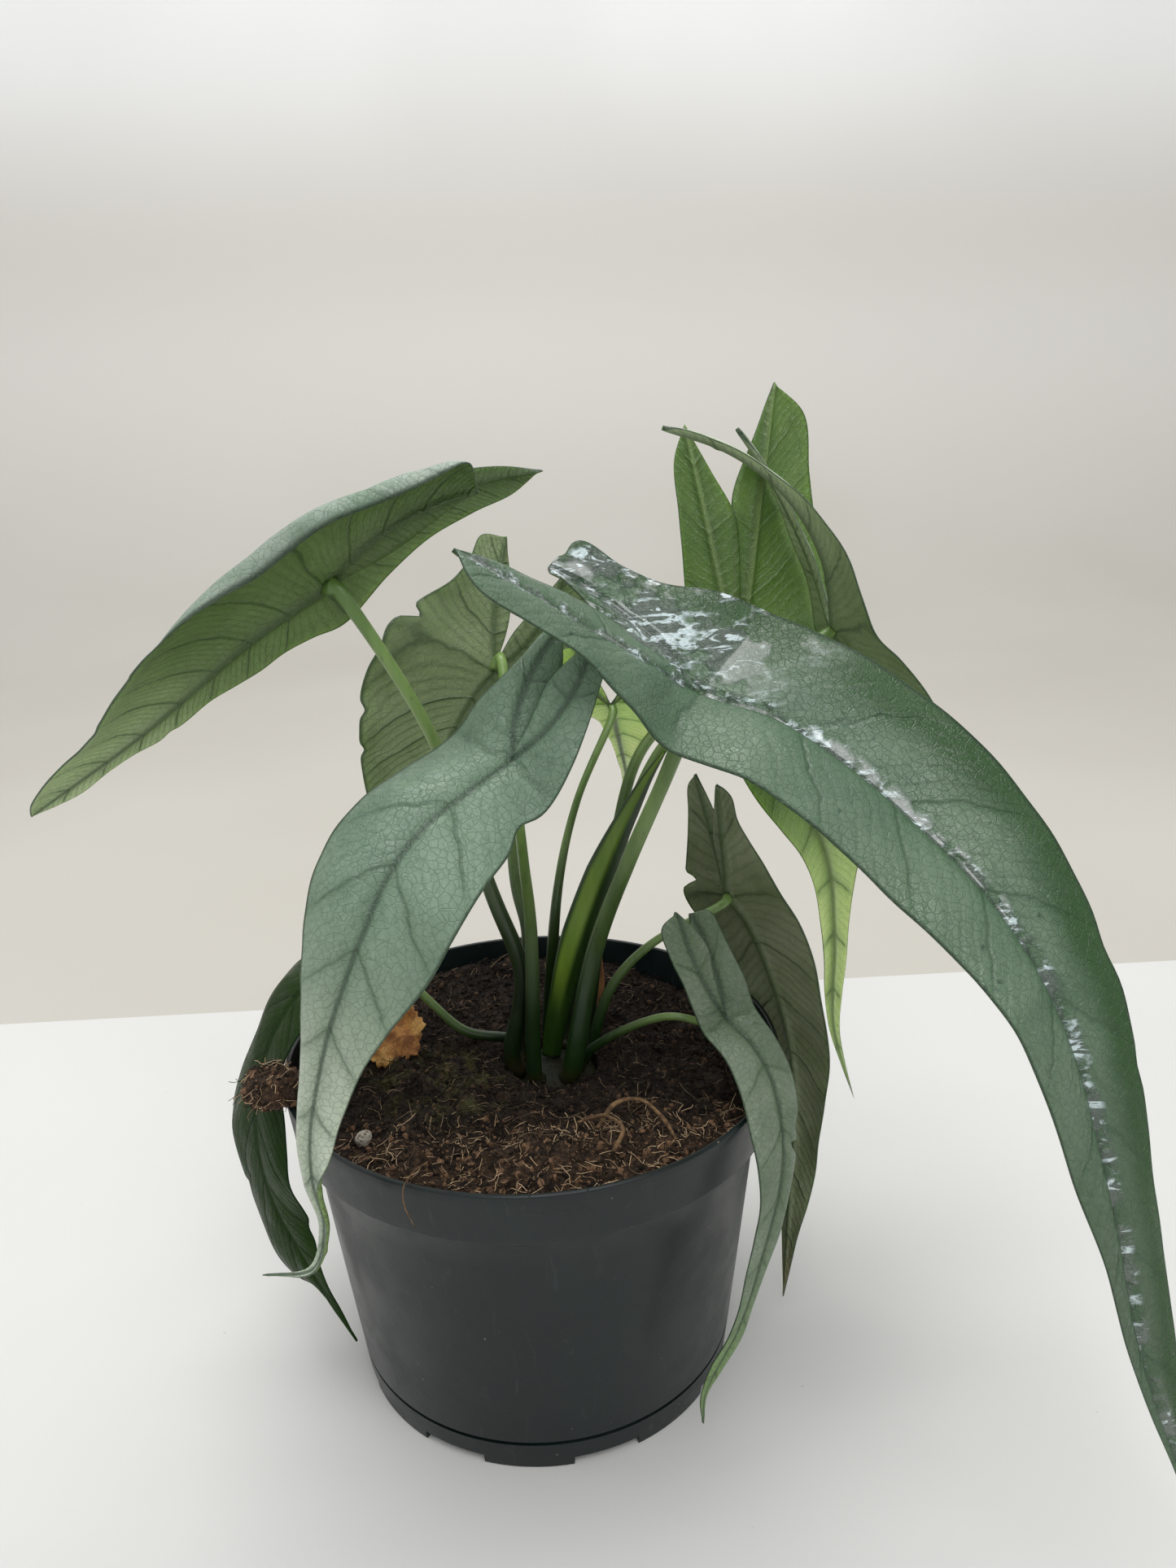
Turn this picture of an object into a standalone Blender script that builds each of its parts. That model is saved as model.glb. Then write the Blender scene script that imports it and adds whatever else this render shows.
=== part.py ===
import math

import bmesh
import bpy
import numpy as np

# A potted alocasia: ten long arrow-shaped leaves on their stems, in a black nursery pot.
# Metres, +Z up. The origin is the centre of the pot's foot pad, on the floor.

# ---------------------------------------------------------------- driving dimensions
RIM_RADIUS = 0.0700          # outer radius of the pot's rim
POT_HEIGHT = 0.0977
LIP_HEIGHT = 0.0150          # the turned band below the rim
LIP_DRAFT = 0.0014           # how much narrower the band is at its lower edge
WALL_STEP = 0.0045           # how far the wall stands inside the band
FOOT_RADIUS = 0.0550
WALL_THICKNESS = 0.0014
SEAM_HEIGHT = 0.0092         # groove that runs round the foot
SEAM_DEPTH = 0.0005
PAD_RADIUS = 0.0350          # flat middle of the underside
CHANNEL_HEIGHT = 0.0040      # raised ring with the drain holes
CHANNEL_OUTER = 0.0490
DRAIN_HOLES = 8
DRAIN_RADIUS = 0.0030
FOOT_NOTCHES = 8
NOTCH_WIDTH = 0.0185
NOTCH_HEIGHT = 0.0030
NOTCH_TURN = 15.0            # degrees, first notch from +X
GAP = 0.0003                 # clearance between touching pieces
SOIL_BELOW_RIM = 0.0070
SOIL_RINGS = 6
CROWN_CENTRE = (0.005, 0.002)
CROWN_RADIUS = 0.0130
CROWN_SUNK = 0.0047           # the crown's shoulder, below the level of the soil
CROWN_DEPTH = 0.0060          # from the shoulder down to its underside
CROWN_DOME = 0.0045
CROWN_MARGIN = 0.0042         # from the stem bases' middles out to the crown's edge
BLADE_THICKNESS = 0.0008
RIB_EXTRA = 0.0007           # how much the main veins stand out below
POT_SEGMENTS = 40
STEM_SIDES = 8
STEM_STEPS = 11
MM = 0.001
DRAWN_RIM = 70.0             # the pot the plant's points below are drawn for, millimetres:
DRAWN_HEIGHT = 97.7          # its rim radius, its height,
DRAWN_SOIL = 7.0             # how far its soil lies below the rim
DRAWN_RING = 8.8             # and the ring its stems stand on
SOIL_LEVEL = POT_HEIGHT - SOIL_BELOW_RIM
CROWN_SHOULDER = SOIL_LEVEL - CROWN_SUNK
CROWN_BOTTOM = CROWN_SHOULDER - CROWN_DEPTH
STEM_RING = CROWN_RADIUS - CROWN_MARGIN


# ---------------------------------------------------------------- leaves, in millimetres
# rib: the midrib from the stem joint to the tip; lobes: the two back tips (left, right);
# bow, lift: sideways and upward bend of each lobe's vein, as a share of its length;
# inner: width of each lobe beside the notch; face, lobe_face: which way the upper side
# looks, from the joint to the tip and at the lobe tips; wide: width of each half at the
# lobe's middle, the joint, a quarter, half, three quarters and nine tenths of the blade;
# fold and arch: rise of each half and its droop towards the margin; wave: margin ripple.
LEAVES = {
    "upper_left": dict(
        rib=[(-46, 0, 229), (-66, -8, 217), (-90, -14, 199), (-119, -20, 180)],
        lobes=[(-6, -8, 252), (10, 20, 255)], bow=(0.1, -0.12), inner=(5, 6),
        face=[(-0.3, 0.8, 0.4), (-0.35, 0.8, 0.45)],
        wide=[(15, 27, 22, 17, 11, 7), (10, 11, 8.5, 6, 4, 3)],
        fold=(0.35, 0.1), arch=(-0.7, -0.2), wave=0.8),
    "front_left": dict(
        rib=[(-2, -38, 193), (-25, -58, 181), (-39, -68, 156), (-47, -69, 134),
             (-52, -68, 110), (-51, -66, 88), (-57, -66, 77), (-66, -68, 80)],
        lobes=[(19, -34, 220), (12, -28, 222)], bow=(0.1, 0.1), inner=(4, 4),
        face=[(-0.1, -0.75, 0.65), (-0.1, -0.95, 0.3), (-0.2, -0.95, 0.1)],
        wide=[(7, 15, 21, 11, 4.5, 1.5), (6, 17, 19, 7.5, 3, 1.2)],
        fold=(0.1, 0.2), arch=(-0.2, -0.6), wave=0.8),
    "front_right": dict(
        rib=[(44, -30, 205), (67, -46, 197), (98, -70, 169), (112, -86, 143),
             (120, -98, 108), (126, -106, 74), (136, -110, 44), (142, -112, 24)],
        lobes=[(11, -4, 237), (-11, -44, 243)], bow=(0.08, 0.0), inner=(3, 6),
        face=[(0.05, -0.45, 0.9), (0.5, -0.75, 0.4), (0.45, -0.85, 0.25)],
        wide=[(14, 29, 29, 18.5, 15, 6), (11, 17, 20, 13.5, 4, 1.2)],
        fold=(0.2, 0.2), arch=(-0.25, -0.25), wave=0.8),
    "back_left": dict(
        rib=[(-6, 45, 197), (-15, 44, 186), (-26, 40, 167), (-36, 36, 144)],
        lobes=[(0, 56, 234), (16, 46, 224)], bow=(0.05, 0.1), inner=(5, 5),
        face=[(0.1, 0.8, 0.55), (0.1, 0.9, 0.3)],
        wide=[(13, 35, 32, 24, 14, 6), (13, 20, 20, 16, 10, 5)],
        fold=(0.15, 0.15), arch=(-0.2, -0.2), wave=1.2),
    "back_top": dict(
        rib=[(69, 50, 192), (84, 58, 160), (101, 62, 126), (105, 62, 92),
             (105, 60, 62), (112, 55, 34)],
        lobes=[(55, 66, 264), (83, 72, 275)], bow=(0.0, 0.0), inner=(6, 5),
        face=[(-0.1, 0.85, 0.5), (0.2, 0.95, 0.2)],
        wide=[(10, 14, 14, 7, 3.5, 1.2), (20, 38, 27, 8.5, 4, 1.2)],
        fold=(0.15, 0.15), arch=(-0.2, -0.2), wave=0.8),
    "right_edge": dict(
        rib=[(93, 30, 206), (112, 24, 182), (130, 14, 157), (140, 4, 130),
             (144, -4, 106)],
        lobes=[(70, 58, 263), (43, 24, 265)], bow=(0.1, 0.14), inner=(4, 3),
        face=[(0.55, 0.35, 0.75), (0.7, 0.4, 0.5)],
        lobe_face=[(0.7, 0.0, 0.7), (0.75, -0.05, 0.65)], lift=(0.1, 0.13),
        wide=[(9, 18, 18, 14, 8, 3), (8, 22, 20, 15, 9, 3)],
        fold=(0.2, 0.2), arch=(-0.25, -0.2), wave=0.6),
    "back_centre": dict(
        rib=[(28, 36, 187), (32, 60, 171), (36, 78, 152), (36, 88, 141)],
        lobes=[(18, 18, 208), (40, 18, 210)], bow=(0.1, 0.1), inner=(3, 3),
        face=[(0.0, 0.4, 0.9), (0.0, 0.8, 0.6)],
        wide=[(8, 9, 5, 3, 2, 1.2), (12, 18, 16, 9, 3, 1.2)],
        fold=(0.15, 0.15), arch=(-0.2, -0.2), wave=0.6),
    "low_left": dict(
        rib=[(-52, 5, 127), (-64, 2, 117), (-74, -1, 102), (-79, -6, 82),
             (-76, -14, 63), (-66, -22, 44), (-54, -28, 22)],
        lobes=[(-40, -4, 140), (-56, 18, 142)], bow=(0.1, 0.1), inner=(3, 3),
        face=[(-0.5, -0.1, 0.85), (-0.85, -0.5, 0.2), (-0.7, -0.7, 0.1)],
        wide=[(8, 12, 14, 20, 9, 2), (10, 15, 14, 18, 12, 2.5)],
        fold=(0.1, 0.1), arch=(-0.2, -0.2), wave=1.2),
    "hang_back": dict(
        rib=[(58, 8, 136), (67, 12, 120), (77, 14, 90), (80, 12, 64),
             (77, 4, 34), (73, -6, 6)],
        lobes=[(50, 14, 171), (54, 4, 171)], bow=(0.0, 0.0), inner=(3, 3),
        face=[(0.5, 0.8, 0.35), (0.8, 0.6, 0.1), (0.75, 0.65, 0.0)],
        wide=[(7, 13, 11, 9, 4, 1.6), (7, 17, 17, 13, 8, 3)],
        fold=(0.2, 0.2), arch=(-0.2, -0.2), wave=0.8),
    "hang_front": dict(
        rib=[(52, -22, 113), (57, -30, 110), (61, -39, 103), (62, -45, 93),
             (61, -50, 82), (55, -55, 62), (48, -58, 42), (40, -60, 28), (39, -60, 16)],
        lobes=[(44, -12, 140), (39, -22, 145)], bow=(0.05, 0.05), inner=(2.5, 2.5),
        face=[(0.3, -0.8, 0.5), (0.6, -0.75, 0.3), (0.6, -0.75, 0.1), (0.5, -0.8, 0.1)],
        wide=[(6, 8, 5, 3, 2.5, 1.8), (6, 8, 12, 3, 3, 1.8)],
        fold=(0.2, 0.2), arch=(-0.2, -0.2), wave=0.5),
}

# Stems: base angle round the crown (degrees from +X), radius at the base and at the top,
# and the points the stem passes on its way to the leaf, in millimetres.
STEMS = {
    "upper_left": dict(turn=200, thick=(2.6, 1.7), drop=0.75,
                       via=[(-2, -3, 120), (-9, -4, 146), (-22, -4, 191)]),
    "front_left": dict(turn=244, thick=(2.2, 1.4), via=[(1, -9, 135), (0, -18, 160)]),
    "front_right": dict(turn=301, thick=(2.8, 2.0),
                        via=[(18, -6, 127), (27, -14, 156), (36, -20, 180)]),
    "back_left": dict(turn=122, thick=(2.0, 1.4), via=[(0, 8, 127), (-3, 14, 147)]),
    "back_top": dict(turn=58, thick=(2.3, 1.6), via=[(24, 14, 142), (37, 28, 176)]),
    "right_edge": dict(turn=27, thick=(2.1, 1.6), via=[(23, 7, 138), (42, 12, 182)]),
    "back_centre": dict(turn=90, thick=(1.9, 1.1), via=[(9, 10, 138), (16, 18, 163)]),
    "low_left": dict(turn=161, thick=(1.6, 1.2), via=[(-20, 3, 101), (-34, 4, 116)]),
    "hang_back": dict(turn=358, thick=(1.8, 1.2), via=[(23, 2, 112), (35, 2, 125)]),
    "hang_front": dict(turn=333, thick=(1.5, 1.1), via=[(26, -8, 104), (38, -15, 111)]),
}

BLADE_KNOTS = (0.0, 0.25, 0.5, 0.75, 0.9, 1.0)     # along the midrib
LOBE_KNOTS = (0.0, 0.5, 0.85, 1.0)                 # from the joint to a back tip
LOBE_SHOULDER = 0.62                               # width near a back tip, of its middle


# ---------------------------------------------------------------- curves and sheets
def unit(v):
    v = np.asarray(v, float)
    return v / np.maximum(np.linalg.norm(v, axis=-1, keepdims=True), 1e-12)


def follow_pot(points):
    """Drawn points moved with the rim: scaled inside and below it, shifted outside and above."""
    p = np.array(points, float)
    rim, height = RIM_RADIUS / MM, POT_HEIGHT / MM
    r = np.hypot(p[..., 0], p[..., 1])
    reach = 1.1 if rim > DRAWN_RIM else 1.0        # a wider pot pushes hanging leaves further
    moved = r + (rim - DRAWN_RIM) * np.minimum(r / DRAWN_RIM, reach)
    p[..., :2] *= (moved / np.maximum(r, 1e-9))[..., None]
    z = p[..., 2]
    p[..., 2] = np.where(z < DRAWN_HEIGHT, z * height / DRAWN_HEIGHT, z + height - DRAWN_HEIGHT)
    return p


def follow_soil(points):
    """Drawn points of things lying on the soil, moved with the pot and the soil's level."""
    p = np.array(points, float)
    rim = RIM_RADIUS / MM
    p[..., :2] *= rim / DRAWN_RIM
    p[..., 2] += SOIL_LEVEL / MM - (DRAWN_HEIGHT - DRAWN_SOIL)
    return p


def spline(points, count):
    """A smooth curve through the points, as count + 1 evenly spaced samples."""
    pts = np.asarray(points, float)
    if len(pts) == 2:
        steps = np.linspace(0, 1, count + 1)[:, None]
        return pts[0] * (1 - steps) + pts[1] * steps
    ends = [2 * pts[0] - pts[1]], [2 * pts[-1] - pts[-2]]
    p = np.concatenate([ends[0], pts, ends[1]])
    fine = []
    t = np.linspace(0, 1, 24, endpoint=False)[:, None]
    for i in range(1, len(p) - 2):
        a, b, c, d = p[i - 1], p[i], p[i + 1], p[i + 2]
        fine.append(0.5 * (2 * b + (c - a) * t + (2 * a - 5 * b + 4 * c - d) * t ** 2
                           + (3 * b - a - 3 * c + d) * t ** 3))
    fine = np.concatenate(fine + [pts[-1:]])
    run = np.concatenate([[0], np.cumsum(np.linalg.norm(np.diff(fine, axis=0), axis=1))])
    want = np.linspace(0, run[-1], count + 1)
    return np.stack([np.interp(want, run, fine[:, k]) for k in range(3)], axis=1)


def tangents(points):
    return unit(np.gradient(points, axis=0))


def along(values, count):
    """Values given from start to end, sampled count + 1 times."""
    values = np.asarray(values, float)
    knots = np.linspace(0, 1, len(values))
    steps = np.linspace(0, 1, count + 1)
    return np.stack([np.interp(steps, knots, values[:, k])
                     for k in range(values.shape[1])], axis=1)


def flow(at, knots, values):
    """A smooth line through the values at the knots, read at the places asked for."""
    knots, values = np.asarray(knots, float), np.asarray(values, float)
    slope = np.gradient(values, knots)
    k = np.clip(np.searchsorted(knots, at, side="right") - 1, 0, len(knots) - 2)
    step = knots[k + 1] - knots[k]
    t = (at - knots[k]) / step
    return ((2 * t ** 3 - 3 * t ** 2 + 1) * values[k] + (3 * t ** 2 - 2 * t ** 3) * values[k + 1]
            + (t ** 3 - 2 * t ** 2 + t) * step * slope[k] + (t ** 3 - t ** 2) * step * slope[k + 1])


def square_to(vectors, axis):
    return unit(vectors - (vectors * axis).sum(-1, keepdims=True) * axis)


def leaf_sheet(leaf, n_lobe=5, n_blade=12, n_side=3, n_inner=1):
    """Middle surface of a leaf: vertices, faces, and the thickness factor of each vertex."""
    rib = spline(follow_pot(leaf["rib"]), n_blade)
    rib_t = tangents(rib)
    rib_f = square_to(along(leaf["face"], n_blade), rib_t)
    joint = rib[0]
    verts, strength, index, faces = [], [], {}, []

    def add(key, point, strong):
        if key not in index:
            index[key] = len(verts)
            verts.append(point)
            strength.append(strong)
        return index[key]

    for side, s in enumerate((1.0, -1.0)):
        lobe_tip = follow_pot(leaf["lobes"][side])
        reach = lobe_tip - joint
        length = np.linalg.norm(reach)
        tau = np.linspace(1, 0, n_lobe + 1)[:, None]
        out_0 = s * np.cross(rib_f[0], rib_t[0])
        bow = leaf["bow"][side] * length
        lift = leaf.get("lift", (0.0, 0.0))[side] * length
        hump = 4 * tau * (1 - tau)
        vein = joint + reach * tau + (out_0 * bow + rib_f[0] * lift) * hump
        vein_t = tangents(vein)
        twist = np.asarray(leaf.get("lobe_face", (leaf["face"][0],) * 2)[side], float)
        face_l = twist * tau + rib_f[0] * (1 - tau)
        vein_f = square_to(face_l, vein_t)
        axis = np.concatenate([vein[:-1], rib])
        ax_t = np.concatenate([vein_t[:-1], rib_t])
        ax_f = np.concatenate([vein_f[:-1], rib_f])
        ax_f[n_lobe] = rib_f[0]
        count = len(axis) - 1
        u = np.linspace(0, 1, n_blade + 1)
        lean = np.concatenate([-0.25 - 0.75 * tau[:-1, 0], 0.15 + 0.75 * u])
        out = s * np.cross(ax_f, ax_t)
        direction = unit(out + ax_t * lean[:, None])
        for _ in range(3):
            soft = direction.copy()
            soft[1:-1] = unit(direction[:-2] + 2 * direction[1:-1] + direction[2:])
            low, high = max(1, n_lobe - 2), min(count, n_lobe + 3)
            direction[low:high] = soft[low:high]
            soft_f = ax_f.copy()
            soft_f[1:-1] = unit(ax_f[:-2] + 2 * ax_f[1:-1] + ax_f[2:])
            ax_f[low:high] = soft_f[low:high]
        lobe_mid, at_joint = leaf["wide"][side][:2]
        w_blade = flow(u, BLADE_KNOTS, leaf["wide"][side][1:] + (0.0,))
        w_lobe = flow(tau[:-1, 0], LOBE_KNOTS,
                      (at_joint, lobe_mid, LOBE_SHOULDER * lobe_mid, 0.0))
        width = np.maximum(np.concatenate([w_lobe, w_blade]), 0.0)
        inner = leaf["inner"][side] * np.sin(math.pi * tau[:, 0] ** 0.85)
        fold, arch = leaf["fold"][side], leaf["arch"][side]
        wave = leaf["wave"]
        turns = leaf.get("waves", 5.0)
        for i in range(count + 1):
            p = i / count
            first = -n_inner if i <= n_lobe else 0
            for j in range(first, n_side + 1):
                q = j / n_side if j >= 0 else -j / n_inner
                if j >= 0:
                    reach_w = width[i] * q
                    rise = width[i] * (fold * q + arch * q * q)
                    rise += (wave * q * q * math.sin(2 * math.pi * turns * p + 2.0 * side)
                             * min(1.0, width[i] / (0.4 * at_joint)))
                    point = axis[i] + direction[i] * reach_w + ax_f[i] * rise
                else:
                    reach_w = inner[i] * q
                    rise = inner[i] * (fold * q + arch * q * q)
                    point = axis[i] - out[i] * reach_w + ax_f[i] * rise
                shared = i >= n_lobe and j <= 0
                if i == 0:
                    key = (side, 0, 0)
                elif i == count:
                    key = ("rib", i)
                elif shared:
                    key = ("rib", i)
                else:
                    key = (side, i, j)
                add(key, point, 1.0 if j == 0 or shared else 0.0)
                index[(side, i, j)] = index[key]
        for i in range(count):
            low = -n_inner if i < n_lobe else 0
            for j in range(low, n_side):
                ring = [index[(side, i, j)], index[(side, i + 1, j)],
                        index[(side, i + 1, j + 1)], index[(side, i, j + 1)]]
                clean = [a for k, a in enumerate(ring) if a != ring[k - 1]]
                if len(clean) < 3:
                    continue
                faces.append(clean if s > 0 else clean[::-1])
    return np.array(verts), faces, np.array(strength)


def sheet_normals(verts, faces):
    total = np.zeros_like(verts)
    for f in faces:
        p = verts[f]
        n = np.zeros(3)
        for k in range(len(f)):
            a, b = p[k], p[(k + 1) % len(f)]
            n += np.cross(a, b)
        total[f] += n
    return unit(total)


def stem_seat(name):
    """Where a stem meets the underside of its leaf, the way the blade faces, the rib's way."""
    leaf = LEAVES[name]
    rib = spline(follow_pot(leaf["rib"]), 12)
    ahead = tangents(rib)[0]
    face = square_to(np.asarray(leaf["face"][0], float), ahead)
    below = (BLADE_THICKNESS / 2 + RIB_EXTRA + GAP) / MM + STEMS[name].get("drop", 0.0)
    return rib[0] - face * below, face, ahead


def stem_path(name, count=STEM_STEPS):
    """Centre line of a stem, from the crown to the underside of its leaf, in millimetres."""
    stem = STEMS[name]
    base, up = crown_point(math.radians(stem["turn"]))
    foot = base / MM + up * 0.35
    top, face, ahead = stem_seat(name)
    near = top - face * 5.0 - ahead * 2.0
    points = spline([foot, foot + up * 7.0] + list(follow_pot(stem["via"])) + [near, top],
                    count)
    return np.vstack([points[:1], foot + up * 1.5, points[1:]])


def crown_point(turn, ring=STEM_RING):
    """A point on the crown's domed top and the way that top faces there."""
    r = ring / CROWN_RADIUS
    x = CROWN_CENTRE[0] + ring * math.cos(turn)
    y = CROWN_CENTRE[1] + ring * math.sin(turn)
    z = CROWN_SHOULDER + CROWN_DOME * (1 - r * r)
    slope = 2 * CROWN_DOME * r / CROWN_RADIUS
    up = unit([slope * math.cos(turn), slope * math.sin(turn), 1.0])
    return np.array([x, y, z]), up


# ---- end of the geometry rules
# Loose bits: where each one lies, in millimetres, and how large it is.
FLAKE_AT = (-40, 3, 100.5)
FLAKE_SIZE = (8.5, 10.0)
CLUMP_AT = (-70, -20.3, 102.3)
CLUMP_SIZE = (8.0, 7.0, 4.5)
CRUMB_AT = (-44, -41, 97)
CRUMB_RADIUS = 2.2
ROOT_LONG = [(15, -44, 97), (20, -37, 99), (27, -35, 98.5), (32, -42, 97), (34, -51, 97)]
ROOT_SHORT = [(18, -55, 97.5), (21, -49, 99.8), (17, -43, 99.8), (10, -42, 97.8)]
ROOT_RADIUS = 0.7
HAIR = [(-27, -55, 98.4), (-30, -60, 99.4), (-32, -64.4, 98.6), (-32, -65.4, 94),
        (-30, -66.5, 89)]
HAIR_RADIUS = 0.35
SCALE_STRIP = [(17, 15, 93), (20, 19, 104), (20, 20, 114), (23, 21, 123)]
NEW_LEAF = [(5, 2, 91.4), (8, 1, 108), (13, -0.5, 128), (22, -2, 152), (32, -6, 174),
            (38, -9, 185)]
NEW_LEAF_WIDTHS = [2.8, 3.4, 4.4, 4.2, 2.6, 0.8]
NEW_LEAF_FLATNESS = 0.55


# ---------------------------------------------------------------- building blocks
def clear_scene():
    for obj in list(bpy.data.objects):
        bpy.data.objects.remove(obj, do_unlink=True)


def material(name, colour, roughness, metallic=0.0):
    mat = bpy.data.materials.new(name)
    mat.use_nodes = True
    mat.diffuse_color = (*colour, 1.0)
    shader = mat.node_tree.nodes["Principled BSDF"]
    shader.inputs["Base Color"].default_value = (*colour, 1.0)
    shader.inputs["Roughness"].default_value = roughness
    shader.inputs["Metallic"].default_value = metallic
    return mat


def make_object(name, verts, faces, mat, smooth=True):
    mesh = bpy.data.meshes.new(name)
    mesh.from_pydata([tuple(v) for v in verts], [], [tuple(f) for f in faces])
    mesh.validate()
    work = bmesh.new()
    work.from_mesh(mesh)
    bmesh.ops.recalc_face_normals(work, faces=work.faces)
    work.to_mesh(mesh)
    work.free()
    for face in mesh.polygons:
        face.use_smooth = smooth
    mesh.materials.append(mat)
    obj = bpy.data.objects.new(name, mesh)
    bpy.context.collection.objects.link(obj)
    return obj


def lathe(profile, segments):
    """Solid of revolution about Z; the profile starts and ends on the axis."""
    verts, faces, rings = [], [], []
    for r, z in profile:
        if r < 1e-9:
            rings.append([len(verts)])
            verts.append((0.0, 0.0, z))
            continue
        rings.append(list(range(len(verts), len(verts) + segments)))
        for k in range(segments):
            a = 2 * math.pi * k / segments
            verts.append((r * math.cos(a), r * math.sin(a), z))
    for lower, upper in zip(rings, rings[1:]):
        for k in range(segments):
            n = (k + 1) % segments
            ring = [lower[k % len(lower)], lower[n % len(lower)],
                    upper[n % len(upper)], upper[k % len(upper)]]
            faces.append([a for i, a in enumerate(ring) if a != ring[i - 1]])
    return verts, faces


def tube(path, radii, sides, flatness=1.0, across=(1.0, 0.0, 0.0)):
    """Closed tube along a path; radii given from start to end, flatness thins one way."""
    path = np.asarray(path, float)
    ahead = tangents(path)
    steps = np.linspace(0, 1, len(path))
    size = np.interp(steps, np.linspace(0, 1, len(radii)), radii)
    side = square_to(np.tile(np.asarray(across, float), (len(path), 1)), ahead)
    front = np.cross(ahead, side)
    verts, faces = [], []
    for i in range(len(path)):
        for k in range(sides):
            a = 2 * math.pi * k / sides
            verts.append(path[i] + size[i] * (side[i] * math.cos(a)
                                              + front[i] * math.sin(a) * flatness))
    for i in range(len(path) - 1):
        for k in range(sides):
            n = (k + 1) % sides
            faces.append([i * sides + k, i * sides + n, (i + 1) * sides + n, (i + 1) * sides + k])
    last = (len(path) - 1) * sides
    faces.append(list(range(sides))[::-1])
    faces.append([last + k for k in range(sides)])
    return np.array(verts), faces


def solid_sheet(verts, faces, strength, thickness, rib):
    """Thicken a sheet evenly to both sides, with the ribs standing out below."""
    normals = sheet_normals(verts, faces)
    top = verts + normals * thickness / 2
    under = verts - normals * (thickness / 2 + strength[:, None] * rib)
    count = len(verts)
    out = [list(f) for f in faces] + [[i + count for i in f][::-1] for f in faces]
    used = {}
    for f in faces:
        for a, b in zip(f, f[1:] + f[:1]):
            used[(a, b)] = used.get((a, b), 0) + 1
    for a, b in used:
        if (b, a) not in used:
            out.append([b, a, a + count, b + count])
    return np.concatenate([top, under]), out


def triangles(faces):
    """Split every face so that curved sheets stay exact."""
    out = []
    for f in faces:
        for k in range(1, len(f) - 1):
            out.append([f[0], f[k], f[k + 1]])
    return out


def blob(centre, size, seed, rings=6, segments=10, rough=0.16):
    """A lumpy closed crumb."""
    rng = np.random.default_rng(seed)
    verts, faces = [], []
    for i in range(rings + 1):
        polar = math.pi * i / rings
        here = 1 if i in (0, rings) else segments
        for k in range(here):
            a = 2 * math.pi * k / segments
            r = 1.0 + rough * rng.uniform(-1, 1)
            verts.append((centre[0] + size[0] * r * math.sin(polar) * math.cos(a),
                          centre[1] + size[1] * r * math.sin(polar) * math.sin(a),
                          centre[2] + size[2] * r * math.cos(polar)))
    start = [0] + [1 + segments * i for i in range(rings - 1)] + [1 + segments * (rings - 1)]
    for i in range(rings):
        for k in range(segments):
            n = (k + 1) % segments
            if i == 0:
                faces.append([0, start[1] + k, start[1] + n])
            elif i == rings - 1:
                faces.append([start[i] + n, start[i] + k, start[rings]])
            else:
                faces.append([start[i] + n, start[i] + k, start[i + 1] + k, start[i + 1] + n])
    return np.array(verts), faces


# ---------------------------------------------------------------- pot
LIP_LOW = POT_HEIGHT - LIP_HEIGHT
LIP_LOW_RADIUS = RIM_RADIUS - LIP_DRAFT
WALL_TOP_RADIUS = LIP_LOW_RADIUS - WALL_STEP
FLOOR_TOP = CHANNEL_HEIGHT + WALL_THICKNESS
LEDGE = LIP_LOW + WALL_THICKNESS
EDGE = 0.0006                # small roundings


def wall_radius(z):
    return FOOT_RADIUS + (WALL_TOP_RADIUS - FOOT_RADIUS) * z / LIP_LOW


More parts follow.
